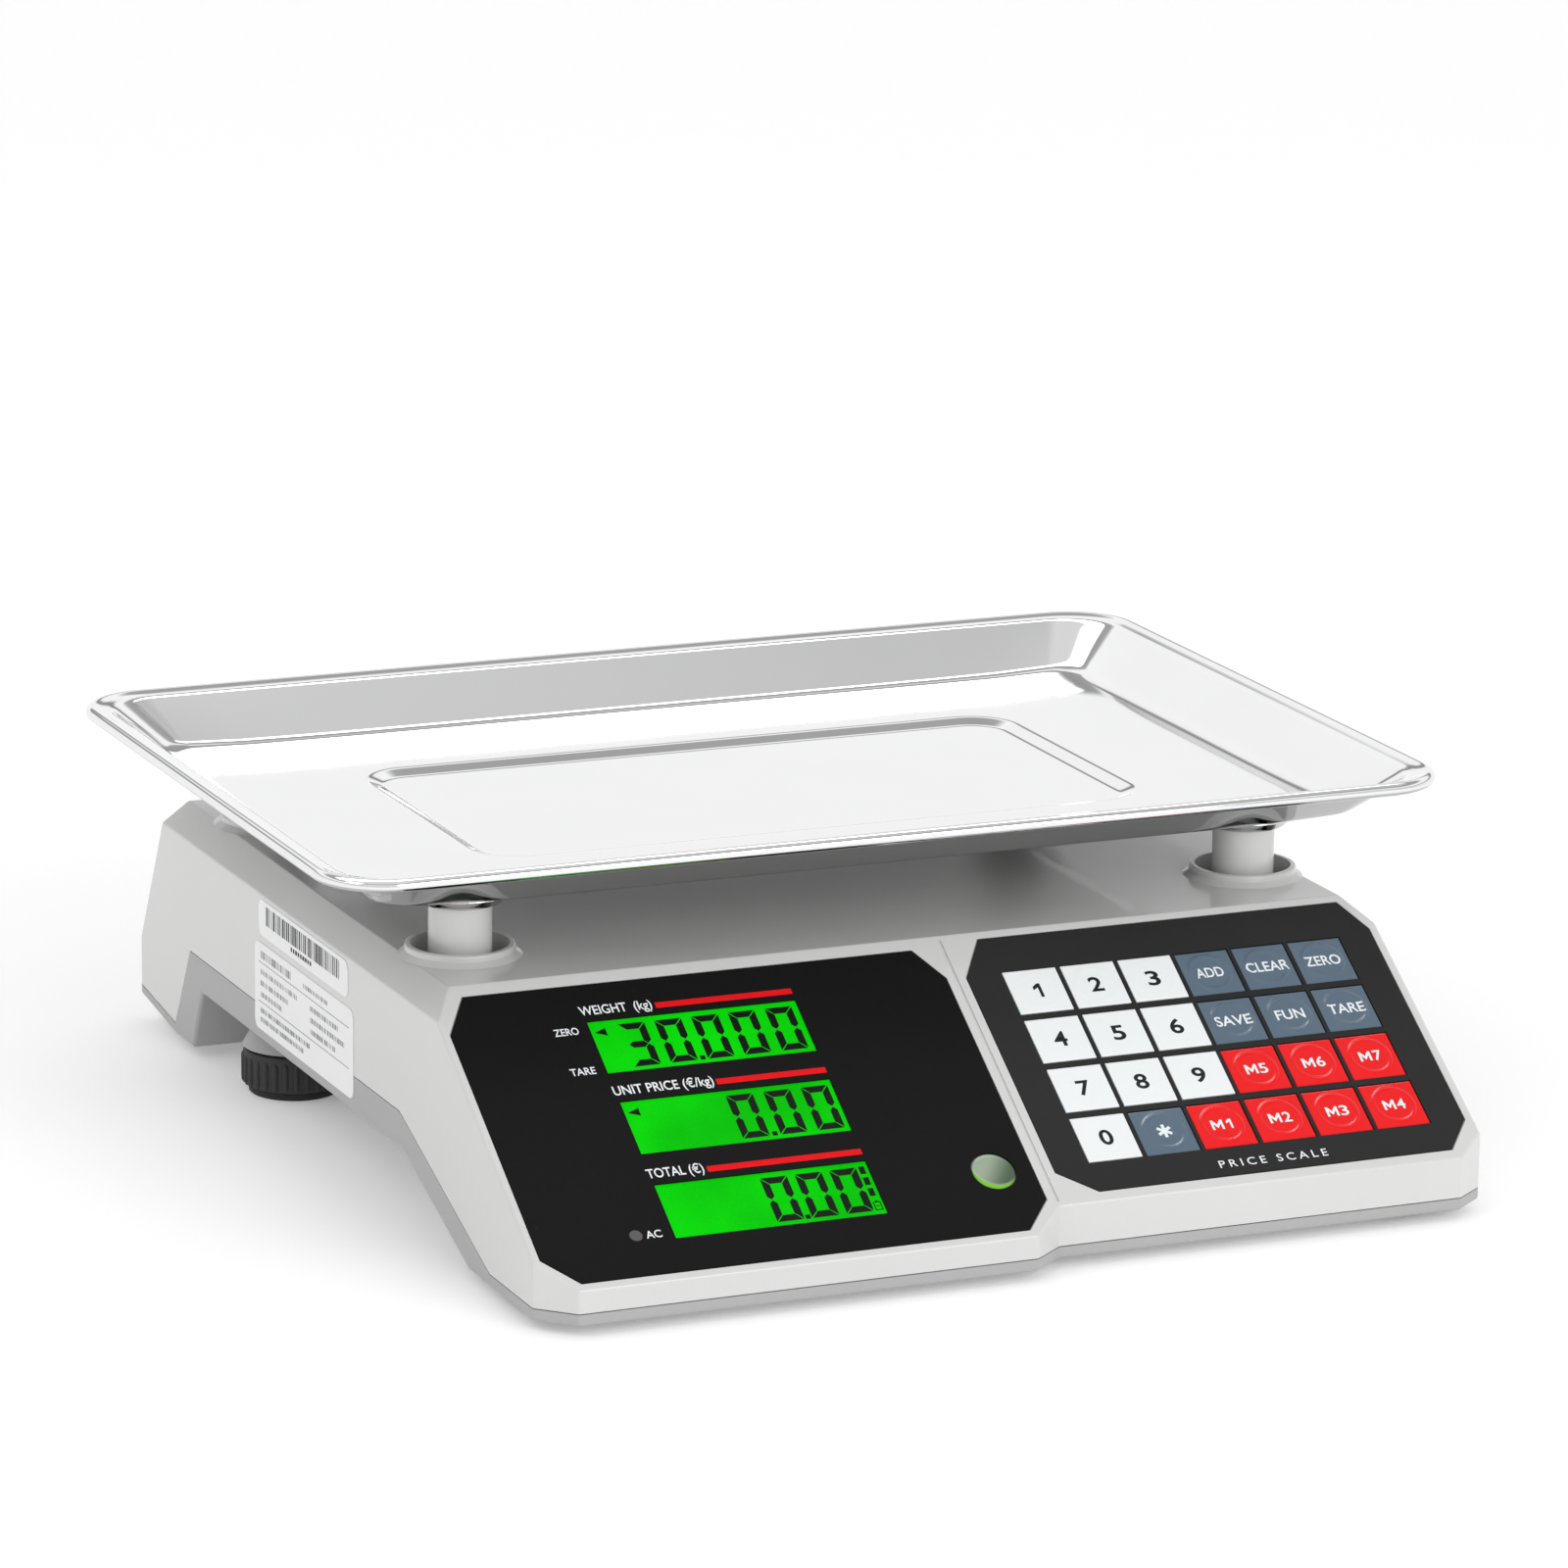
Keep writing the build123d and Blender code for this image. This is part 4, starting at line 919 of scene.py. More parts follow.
# ---- Places ----------------------------------------------------------------------------------
@dataclass(frozen=True)
class SlopedFace:
    """A flat face of the housing that carries print: x across, s down its slope, n off it, in mm."""

    origin: Vector
    across: Vector
    down: Vector

    @property
    def normal(self) -> Vector:
        """Direction out of the face."""
        return self.down.cross(self.across).normalized()

    def point(self, x: float, s: float, n: float = 0.0) -> Vector:
        """A place on the face, in metres in the row frame."""
        return self.origin + (self.across * x + self.down * s + self.normal * n) * MM

    def matrix(self, x: float, s: float, n: float = 0.0) -> Matrix:
        """Lays a drawing made in the XY plane on the face, upright to its reader."""
        turn = Matrix((self.across, -self.down, self.normal)).transposed().to_4x4()
        return Matrix.Translation(self.point(x, s, n)) @ turn


def front_panel() -> SlopedFace:
    """The operator's panel."""
    angle = math.atan(PANEL_GRADIENT)
    down = Vector((0.0, -math.cos(angle), -math.sin(angle)))
    return SlopedFace(Vector((0.0, -75.8, 73.5)) * MM, Vector((1.0, 0.0, 0.0)), down)


def rear_panel() -> SlopedFace:
    """The customer's panel."""
    down = Vector((0.0, 24.0, -47.5)).normalized()
    return SlopedFace(Vector((0.0, 143.0, 73.5)) * MM, Vector((-1.0, 0.0, 0.0)), down)


def left_wall() -> SlopedFace:
    """The left wall, with x from its rear edge forwards and s down from the floor's level."""
    return SlopedFace(Vector((-144.7, 0.0, 0.0)) * MM, Vector((0.0, -1.0, 0.0)), Vector((0.0, 0.0, -1.0)))


@dataclass(frozen=True)
class Lettering:
    """Generic functional captions, cut as thin plates of ink."""

    capital: float = 3.2
    weight: float = 0.012
    condense: float = 0.94
    spacing: float = 1.0
    thickness: float = 0.03
    align: str = "LEFT"

    def draw(self, words: str) -> bpy.types.Mesh:
        """The words in the XY plane, their capitals standing on y 0.

        Args:
            words: The caption.

        Returns:
            A mesh in metres.
        """
        curve = bpy.data.curves.new("caption", "FONT")
        curve.body = words
        curve.align_x = self.align
        curve.resolution_u = 5
        curve.offset = self.weight
        curve.space_character = self.spacing
        curve.extrude = self.thickness * 0.5 / self.capital
        carrier = bpy.data.objects.new("caption", curve)
        bpy.context.scene.collection.objects.link(carrier)
        graph = bpy.context.evaluated_depsgraph_get()
        mesh = bpy.data.meshes.new_from_object(carrier.evaluated_get(graph), depsgraph=graph)
        bpy.data.objects.remove(carrier)
        scale = self.capital * MM / self.capital_height()
        mesh.transform(Matrix.Diagonal((scale * self.condense, scale, scale * self.capital_height(), 1.0)))
        return mesh

    @staticmethod
    def capital_height() -> float:
        """Height of a capital H of the built-in face at size 1."""
        curve = bpy.data.curves.new("measure", "FONT")
        curve.body = "H"
        carrier = bpy.data.objects.new("measure", curve)
        bpy.context.scene.collection.objects.link(carrier)
        bpy.context.view_layer.update()
        tall = carrier.dimensions.y
        bpy.data.objects.remove(carrier)
        return tall

    def fitted(self, words: str, width: float) -> bpy.types.Mesh:
        """The words in the XY plane, stretched or narrowed to a width in mm."""
        mesh = self.draw(words)
        across = [v.co.x for v in mesh.vertices]
        mesh.transform(Matrix.Scale(width * MM / (max(across) - min(across)), 4, Vector((1, 0, 0))))
        return mesh

    def on(self, face: SlopedFace, words: str, x: float, s: float, width: float) -> bpy.types.Mesh:
        """The words printed on a face's film, their base line at s, as wide as stated."""
        mesh = self.fitted(words, width)
        mesh.transform(face.matrix(x, s, FILM_TOP + self.thickness / 2 + 0.005))
        return mesh


# ---- Sub-assemblies --------------------------------------------------------------------------
@dataclass
class WeighingPan:
    """The drawn stainless tray: rolled bead, short flange, sloped wall and a pressed recess."""

    length: float
    depth: float
    middle_y: float
    rim_top: float
    posts: tuple[Point2, ...]
    bead_radius: float = 1.9
    rim_corner: float = 21.0
    floor_top: float = 92.5
    sheet: float = 0.9
    wall_inset: float = 21.0
    floor_corner: float = 9.0
    recess_half: tuple[float, float] = (105.0, 54.0)
    recess_corner: float = 15.0
    recess_drop: float = 1.5
    band: float = 5.0
    crown: float = 0.25
    upsweep: float = 0.34
    upsweep_reach: float = 30.0
    corner_sweep: float = 1.6
    corner_reach: float = 70.0
    pin: tuple[float, float] = (3.0, 6.0)
    cup: tuple[Point2, ...] = ((15.4, 0.3), (14.4, -0.3), (12.9, -1.7), (12.1, -2.5), (11.2, -2.9),
                               (10.2, -2.9), (9.5, -2.3), (9.4, -1.0), (9.4, 0.3))
    floor_inset: float = 23.8
    corner_steps: int = 14
    side_steps: int = 16

    @classmethod
    def from_frame(cls) -> "WeighingPan":
        """The tray sized and placed by the frame's own tray and posts."""
        low, high = (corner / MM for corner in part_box("weighing_pan"))
        post_low, post_high = (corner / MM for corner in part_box("pan_posts"))
        reach = 9.0
        posts = tuple((x, y) for x in (post_low.x + reach, post_high.x - reach)
                      for y in (post_low.y + reach, post_high.y - reach))
        return cls(high.x - low.x, high.y - low.y, (low.y + high.y) / 2, high.z, posts)

    def ring(self, half_x: float, half_y: float, corner: float, z: float) -> list[Vector]:
        """Points round a rounded rectangle, the same number for every size.

        Args:
            half_x: Half its length.
            half_y: Half its depth.
            corner: Radius of its corners.
            z: Its height.

        Returns:
            The points in mm, counter-clockwise from the right side.
        """
        points: list[Vector] = []
        for quarter, (sx, sy) in enumerate(((1, 1), (-1, 1), (-1, -1), (1, -1))):
            centre = Vector((sx * (half_x - corner), sy * (half_y - corner), z))
            for step in range(self.corner_steps + 1):
                angle = (quarter + step / self.corner_steps) * math.pi / 2
                points.append(centre + corner * Vector((math.cos(angle), math.sin(angle), 0)))
            next_x, next_y = ((-1, 1), (-1, -1), (1, -1), (1, 1))[quarter]
            goal = Vector((next_x * (half_x - corner), next_y * (half_y - corner), z))
            turn = (quarter + 1) * math.pi / 2
            goal += corner * Vector((math.cos(turn), math.sin(turn), 0))
            start = points[-1]
            points += [start.lerp(goal, k / self.side_steps) for k in range(1, self.side_steps)]
        return points

    def rim_ring(self, inset: float, z: float) -> list[Vector]:
        """A ring at a given inset from the rim's outer edge."""
        corner = self.rim_corner - inset * (self.rim_corner - self.floor_corner) / self.wall_inset
        return self.ring(self.length / 2 - inset, self.depth / 2 - inset, max(corner, 6.0), z)

    def wall_rows(self) -> list[Point2]:
        """Inset and height of the sheet's upper face, from the bead's top to the floor."""
        top = self.rim_top
        rows = [(1.9, top), (2.7, top - 0.16), (3.6, top - 0.52), (4.6, top - 0.8), (5.8, top - 0.98),
                (6.8, top - 1.2), (7.6, top - 1.62), (8.2, top - 2.15)]
        foot = (self.wall_inset - 1.2, self.floor_top + 1.75)
        for share in (0.12, 0.35, 0.65, 0.88, 1.0):
            rows.append((8.2 + (foot[0] - 8.2) * share, top - 2.15 + (foot[1] - top + 2.15) * share))
        rows += [(20.6, self.floor_top + 1.1), (21.5, self.floor_top + 0.62), (22.6, self.floor_top + 0.36)]
        return rows

    def floor_rings(self) -> list[list[Vector]]:
        """Rings of the floor's upper face, from the wall's foot to the recess's middle."""
        half_x, half_y = self.length / 2, self.depth / 2
        start = (half_x - self.floor_inset, half_y - self.floor_inset, 8.0)
        end = (self.recess_half[0] + 2.0, self.recess_half[1] + 2.0, self.recess_corner + 2.0)
        rings = []
        for share in (0.0, 0.04, 0.1, 0.2, 0.35, 0.55, 0.8, 1.0):
            size = [a + (b - a) * share for a, b in zip(start, end)]
            rings.append(self.ring(*size, self.floor_top))
        band = ((0.4, 0.0), (-0.3, 0.05), (-1.0, 0.2), (-self.band + 1.0, self.recess_drop - 0.2),
                (-self.band + 0.3, self.recess_drop - 0.05), (-self.band - 0.4, self.recess_drop),
                (-self.band - 2.0, self.recess_drop), (-15.0, self.recess_drop),
                (-30.0, self.recess_drop), (-44.0, self.recess_drop))
        for grow, drop in band:
            corner = max(self.recess_corner + grow, 3.0)
            rings.append(self.ring(self.recess_half[0] + grow, self.recess_half[1] + grow, corner,
                                   self.floor_top - drop))
        return rings

    @staticmethod
    def nearness(room: float, reach: float) -> float:
        """1 at an edge, falling smoothly to 0 at a distance."""
        return (1.0 - min(max(room, 0.0) / reach, 1.0)) ** 2

    def soften(self, points: list[Vector]) -> list[Vector]:
        """Gives the pressing its slight crown, and the upsweep that grows towards its corners.

        Args:
            points: Points of the flat pressing in mm.

        Returns:
            The shaped points in mm.
        """
        edge_x = self.length / 2 - self.floor_inset
        edge_y = self.depth / 2 - self.floor_inset
        shaped = []
        for p in points:
            room_x, room_y = edge_x - abs(p.x), edge_y - abs(p.y)
            along_x = self.nearness(room_x, self.upsweep_reach)
            along_y = self.nearness(room_y, self.upsweep_reach)
            corner_x = 1.0 + self.corner_sweep * self.nearness(room_x, self.corner_reach)
            corner_y = 1.0 + self.corner_sweep * self.nearness(room_y, self.corner_reach)
            lift = self.upsweep * (along_y * corner_x + along_x * corner_y)
            lift *= max(0.0, 1.0 - (p.z - self.floor_top) / (self.rim_top - 2.15 - self.floor_top))
            crown = self.crown * max(0.0, 1 - (p.x / edge_x) ** 2) * max(0.0, 1 - (p.y / edge_y) ** 2)
            shaped.append(Vector((p.x, p.y, p.z + lift - crown)))
        return shaped

    def upper_rings(self) -> list[list[Vector]]:
        """All rings of the upper face, from the bead's top inwards."""
        rim = [self.rim_ring(inset, z) for inset, z in self.wall_rows()]
        return [self.soften(ring) for ring in rim + self.floor_rings()]

    def bead_rings(self) -> list[list[Vector]]:
        """Rings round the outside of the rolled bead, from its top to its tucked-in end."""
        r = self.bead_radius
        rings = []
        for step in range(1, 17):
            angle = math.pi / 2 + step * math.radians(285) / 16
            rings.append(self.rim_ring(r + r * math.cos(angle), self.rim_top - r + r * math.sin(angle)))
        return rings

    def lower_rings(self) -> list[list[Vector]]:
        """The upper face set off by the sheet's thickness, from the recess out to the bead."""
        upper = self.upper_rings()
        lower = []
        for k in range(len(upper) - 1, 5, -1):
            ring = []
            for i, p in enumerate(upper[k]):
                before, after = upper[max(k - 1, 0)][i], upper[min(k + 1, len(upper) - 1)][i]
                slope = (before - after)
                flat = Vector((slope.x, slope.y, 0))
                run = flat.length
                away = flat.normalized() if run > 1e-6 else Vector((0, 0, 0))
                tilt = math.atan2(slope.z, run) if run > 1e-6 else 0.0
                ring.append(p + self.sheet * (away * math.sin(tilt) - Vector((0, 0, math.cos(tilt)))))
            lower.append(ring)
        return lower

    def sheet_mesh(self) -> bpy.types.Mesh:
        """The pressed sheet with its bead, closed."""
        rings = list(reversed(self.bead_rings())) + self.upper_rings() + self.lower_rings()
        count = len(rings[0])
        points = [Vector((p.x, p.y + self.middle_y, p.z)) * MM for ring in rings for p in ring]
        faces: list[tuple[int, ...]] = []
        inner_top = len(self.bead_rings()) + len(self.upper_rings()) - 1
        for row in range(len(rings)):
            following = (row + 1) % len(rings)
            if row == inner_top:
                continue
            a, b = row * count, following * count
            faces += [(a + i, a + (i + 1) % count, b + (i + 1) % count, b + i) for i in range(count)]
        faces.append(tuple(range(inner_top * count, (inner_top + 1) * count)))
        faces.append(tuple(range((inner_top + 1) * count, (inner_top + 2) * count)))
        return mesh_from(points, faces)

    def pin_meshes(self) -> list[bpy.types.Mesh]:
        """The four location studs welded under the floor."""
        radius, drop = self.pin[0] * MM, self.pin[1] * MM
        under = (self.floor_top - self.sheet - self.crown) * MM
        top = 0.35 * MM
        profile = [(radius - 0.0006, -drop + self.crown * MM), (radius, -drop + 0.0006 + self.crown * MM),
                   (radius, -0.0008), (radius + 0.0004, -0.0002), (radius + 0.0006, top)]
        pins = []
        for x, y in self.posts:
            pins.append(turned(profile, Vector((x * MM, y * MM, under)), 32))
        return pins

    def cup_meshes(self) -> list[bpy.types.Mesh]:
        """The shallow cups under the floor that seat on the posts."""
        profile = [(radius * MM, height * MM) for radius, height in self.cup]
        under = (self.floor_top - self.sheet) * MM
        return [turned(profile, Vector((x * MM, y * MM, under)), 48, hollow=True) for x, y in self.posts]

    def build(self) -> None:
        """Makes the tray and puts it on its body."""
        mesh = join_meshes([self.sheet_mesh(), *self.pin_meshes(), *self.cup_meshes()])
        mesh.shade_smooth()
        pan = new_object("stainless_pan", mesh, Finish.PAN.material)
        settle(pan, "pan", "pan_steel", "weighing_pan")


@dataclass
class Platform:
    """Posts, cushions and the arms that carry the tray to the load cell."""

    load_travel: float = 0.5

    def load_cell_bar(self) -> None:
        """Makes the load cell's bar."""
        mesh = bpy.data.objects["load_cell"].data.copy()
        mesh.materials.clear()
        tidy_mesh(mesh)
        bar = new_object("load_cell_bar", sharpen(mesh), Finish.CAST.material)
        settle(bar, "base", "aluminium", "load_cell")
        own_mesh(bar)

    def build(self) -> None:
        """Dresses the platform's parts."""
        # The posts' darkened colour is painted shade from the tray above.
        dress("pan_posts", Finish.POST_PAINTED_SHADE.material)
        dress("post_cushions", Finish.CUSHION.material)
        dress("support_spider", Finish.CAST.material)
        dress("spider_screws", Finish.SCREW.material)
        self.load_cell_bar()
        dress("load_cell_screws", Finish.SCREW.material)
        dress("base_plate", Finish.ZINC.material)


@dataclass
class Housing:
    """Both mouldings, the battery hatch, the screws and what is inside."""

    def build(self) -> None:
        """Dresses the housing's parts."""
        dress("upper_housing", Finish.UPPER.material)
        dress("lower_housing", Finish.LOWER.material)
        dress("battery_cover", Finish.LOWER.material)
        dress("housing_screws", Finish.SCREW.material)
        dress("battery", Finish.BATTERY.material)
        dress("transformer", Finish.CORE.material)
        dress("switch_body", Finish.BLACK.material)
        dress("power_rocker", Finish.BLACK.material)
        dress("mains_inlet", Finish.BLACK.material)
        for board in ("main_board", "rear_board"):
            dress(board, Finish.BOARD.material)
        dress("snap_domes", Finish.SCREW.material)


@dataclass
class Stickers:
    """Printing on the two stickers of the left wall: a bar code and lines of small print."""

    code_y: Point2 = (52.0, -9.5)
    code_z: float = 61.3
    code_height: float = 5.6
    sheet: float = 0.02
    surface: float = 0.012
    seed: int = 7

    def row(self, recipe: Recipe, start_y: float, z: float, **sizes: float) -> bpy.types.Mesh:
        """One row of bars on the wall.

        Args:
            recipe: The bar row's tree.
            start_y: Where the row starts, towards the rear, in mm.
            z: Height of its middle in mm.
            sizes: The tree's sizes in mm, and its Count and Seed.

        Returns:
            The row's mesh in place.
        """
        whole = {key: value for key, value in sizes.items() if key in ("Count", "Seed")}
        scaled = {key: value * MM for key, value in sizes.items() if key not in whole}
        mesh = recipe.run(Sheet=self.sheet * MM, **whole, **scaled)
        mesh.transform(left_wall().matrix(-start_y, -z, self.surface))
        return mesh

    def build(self) -> None:
        """Dresses the stickers and prints them."""
        dress("rating_labels", Finish.PAPER.material)
        recipe = bar_row()
        code = self.row(recipe, self.code_y[0], self.code_z, Count=40, Pitch=1.55, Height=self.code_height,
                        Thin=0.25, Thick=1.3, Seed=self.seed)
        digits = self.row(recipe, 31.0, 56.9, Count=9, Pitch=2.0, Height=1.3, Thin=1.0, Thick=1.5,
                          Seed=self.seed + 1)
        black = new_object("sticker_bars", join_meshes([code, digits]), Finish.BLACK_INK.material)
        settle(black, "base", "sticker")
        lines = [(58.0, 48.8, 10, 2.3), (22.0, 48.8, 8, 1.3), (58.0, 43.6, 12, 1.5), (16.0, 43.6, 9, 1.5),
                 (58.0, 40.2, 9, 1.5), (16.0, 40.2, 11, 1.5), (58.0, 36.8, 7, 1.5), (16.0, 36.8, 8, 1.5),
                 (58.0, 32.0, 16, 1.4), (58.0, 29.2, 14, 1.4)]
        rows = []
        for number, (y, z, count, tall) in enumerate(lines):
            rows.append(self.row(recipe, y - 1.2, z, Count=2 * count, Pitch=1.3, Height=tall, Thin=0.25,
                                 Thick=1.0, Seed=self.seed + 10 + number))
        for z in (46.4, 34.5):
            rule = plate([(-0.038, -0.0001), (0.038, -0.0001), (0.038, 0.0001), (-0.038, 0.0001)], 0, 2e-5)
            rule.transform(left_wall().matrix(-21.2, -z, self.surface))
            rows.append(rule)
        print_mesh = new_object("sticker_small_print", join_meshes(rows), Finish.GREY_INK.material)
        settle(print_mesh, "base", "sticker")


@dataclass
class Digits:
    """Seven-segment figures with pointed bars."""

    width: float = 8.0
    height: float = 15.5
    stroke: float = 2.2
    gap: float = 0.3
    sheet: float = 0.04
    lit: dict[str, str] = field(default_factory=lambda: {
        "0": "abcdef", "1": "bc", "2": "abged", "3": "abgcd", "4": "fgbc", "5": "afgcd",
        "6": "afgedc", "7": "abc", "8": "abcdefg", "9": "abcdfg"})

    def outline(self, segment: str) -> list[Point2]:
        """Corners of one bar in mm about the figure's middle, mitred where two bars meet.

        Args:
            segment: The bar's letter, a to g.

        Returns:
            The corners in order.
        """
        w, h, s, g = self.width / 2, self.height / 2, self.stroke, self.gap / 2
        if segment == "g":
            tip, edge = w - s / 2 - g, w - s - g
            return [(-tip, 0), (-edge, -s / 2), (edge, -s / 2), (tip, 0), (edge, s / 2), (-edge, s / 2)]
        if segment in "ad":
            up = 1 if segment == "a" else -1
            outer, inner = w - 1.6 * g, w - s - 0.4 * g
            return [(-outer, up * h), (-inner, up * (h - s)), (inner, up * (h - s)), (outer, up * h)]
        side = 1 if segment in "bc" else -1
        up = 1 if segment in "bf" else -1
        return [(side * w, up * (h - 1.6 * g)), (side * (w - s), up * (h - s - 1.6 * g)),
                (side * (w - s), up * (s / 2 + g)), (side * (w - s / 2), up * g),
                (side * w, up * (s / 2 + g))]

    def bars(self, centres: Sequence[tuple[float, str]]) -> bpy.types.Mesh:
        """The bars of a row of figures in the XY plane.

        Args:
            centres: Middle of each figure in mm, and the figure.

        Returns:
            The row's mesh in metres.
        """
        parts = []
        for x, figure in centres:
            for segment in self.lit[figure]:
                corners = [((x + dx) * MM, dy * MM) for dx, dy in self.outline(segment)]
                parts.append(plate(corners, 0.0, self.sheet * MM))
        return join_meshes(parts)

    def stop(self, x: float, size: float = 1.5) -> bpy.types.Mesh:
        """The square decimal point."""
        low = -self.height / 2
        return rectangle(x - size / 2, low - 0.1, x + size / 2, low + size - 0.1, self.sheet)


def rectangle(x0: float, y0: float, x1: float, y1: float, sheet: float) -> bpy.types.Mesh:
    """A thin upright rectangle in the XY plane, sizes in mm."""
    return plate([(x * MM, y * MM) for x, y in ((x0, y0), (x1, y0), (x1, y1), (x0, y1))], 0, sheet * MM)


@dataclass
class DisplayPanel:
    """The operator's display: film, three backlit windows, captions, level and mains light."""

    window: Point2 = (62.5, 19.0)
    window_x: float = -71.1
    rows: tuple[float, ...] = (27.0, 56.2, 86.0)
    level: tuple[float, float, float] = (-4.5, 85.4, 6.5)
    readings: tuple[tuple[tuple[float, str], ...], ...] = (
        ((12.5, "3"), (23.5, "0"), (34.5, "0"), (45.5, "0"), (56.7, "0")),
        ((34.8, "0"), (46.0, "0"), (57.2, "0")), ((34.5, "0"), (44.8, "0"), (55.1, "0")))
    stops: tuple[float, ...] = (29.1, 40.4, 39.7)
    pointer: tuple[Point2, ...] = ((1.3, 5.6), (4.7, 4.2), (4.7, 7.0))
    captions: tuple[tuple[str, float], ...] = (("WEIGHT  (kg)", 21.5), ("UNIT PRICE (€/kg)", 29.7),
                                               ("TOTAL (€)", 16.7))

    def left(self) -> float:
        """The windows' left edge."""
        return self.window_x - self.window[0] / 2

    def segments(self) -> bpy.types.Mesh:
        """All dark marks of the three windows."""
        face = front_panel()
        digits = Digits()
        meshes = []
        for s, reading, stop in zip(self.rows, self.readings, self.stops):
            place = face.matrix(self.left(), s, GLASS_TOP + 0.01)
            marks = [digits.bars(reading), digits.stop(stop)]
            if s < 80:
                corners = [(x * MM, y * MM) for x, y in self.pointer]
                marks.append(plate(corners, 0, SEGMENT_SHEET * MM))
            else:
                marks += [rectangle(59.8, y, 61.5, y + 2.7, SEGMENT_SHEET) for y in (-2.6, 1.3, 5.2)]
                marks += self.cell_sign(60.8, -6.2)
            for mark in marks:
                mark.transform(place)
                meshes.append(mark)
        return join_meshes(meshes)

    @staticmethod
    def cell_sign(x: float, y: float) -> list[bpy.types.Mesh]:
        """A small battery outline."""
        w, h, t = 1.1, 1.5, 0.3
        strips = ((x - w, y - h, x - w + t, y + h), (x + w - t, y - h, x + w, y + h),
                  (x - w, y - h, x + w, y - h + t), (x - w, y + h - t, x + w, y + h),
                  (x - 0.4, y + h, x + 0.4, y + h + 0.4), (x - 0.45, y - 0.15, x + 0.45, y + 0.15))
        return [rectangle(*strip, SEGMENT_SHEET) for strip in strips]

    def lettering(self) -> bpy.types.Mesh:
        """White captions round the windows."""
        face = front_panel()
        heading = Lettering(3.1, 0.012)
        side = Lettering(2.45, 0.012)
        left, top = self.left(), self.window[1] / 2
        meshes = [heading.on(face, words, left - 0.9, s - top - 2.2, bar - 0.1)
                  for (words, bar), s in zip(self.captions, self.rows)]
        meshes.append(side.on(face, "ZERO", left - 10.6, self.rows[0] - 5.2, 7.2))
        meshes.append(side.on(face, "TARE", left - 10.6, self.rows[0] + 9.2, 7.4))
        meshes.append(side.on(face, "AC", left - 8.0, self.rows[2] + 8.5, 4.6))
        return join_meshes(meshes)

    def bars(self) -> bpy.types.Mesh:
        """Red bars after the captions."""
        face = front_panel()
        meshes = []
        for (_, start), s in zip(self.captions, self.rows):
            bar = rectangle(start, 0.0, self.window[0], 2.0, 0.03)
            bar.transform(face.matrix(self.left(), s - self.window[1] / 2 - 2.1, FILM_TOP + 0.005))
            meshes.append(bar)
        return join_meshes(meshes)

    def level_mesh(self) -> bpy.types.Mesh:
        """The level's domed window over its cup."""
        x, s, radius = self.level
        profile = [(0.0004, -8.4), (radius - 0.2, -8.4), (radius + 0.95, -7.9), (radius + 0.98, -0.55),
                   (radius - 0.35, -0.5), (radius - 0.3, -0.25)]
        dome = [(radius * math.cos(a) * 0.95, -0.2 + 0.42 * math.sin(a))
                for a in (math.radians(d) for d in (4, 14, 26, 40, 55, 70, 82))]
        rows = [(r * MM, z * MM) for r, z in profile + dome + [(0.01, 0.22)]]
        rows[0] = (0.00001, rows[0][1])
        mesh = turned(rows, Vector((0, 0, 0)), 72)
        mesh.transform(front_panel().matrix(x, s, 0.0))
        return sharpen(mesh, 50)

    def build(self) -> None:
        """Dresses and prints the display."""
        dress("display_label", Finish.DISPLAY.material)
        dress("front_lcds", Finish.BACKLIGHT.material)
        dress("ac_indicator", Finish.DIODE.material)
        settle(new_object("display_segments", self.segments(), Finish.SEGMENT.material), "base", "lcd")
        settle(new_object("display_captions", self.lettering(), Finish.WHITE_INK.material), "base",
               "display_black")
        settle(new_object("display_red_bars", self.bars(), Finish.RED_INK.material), "base", "display_black")
        x, s, radius = self.level
        window = LevelWindow(front_panel().point(x, s), math.atan(PANEL_GRADIENT), radius * MM)
        pane = new_object("level_window", self.level_mesh(), window.make())
        settle(pane, "base", "vial_glass", "level_vial")


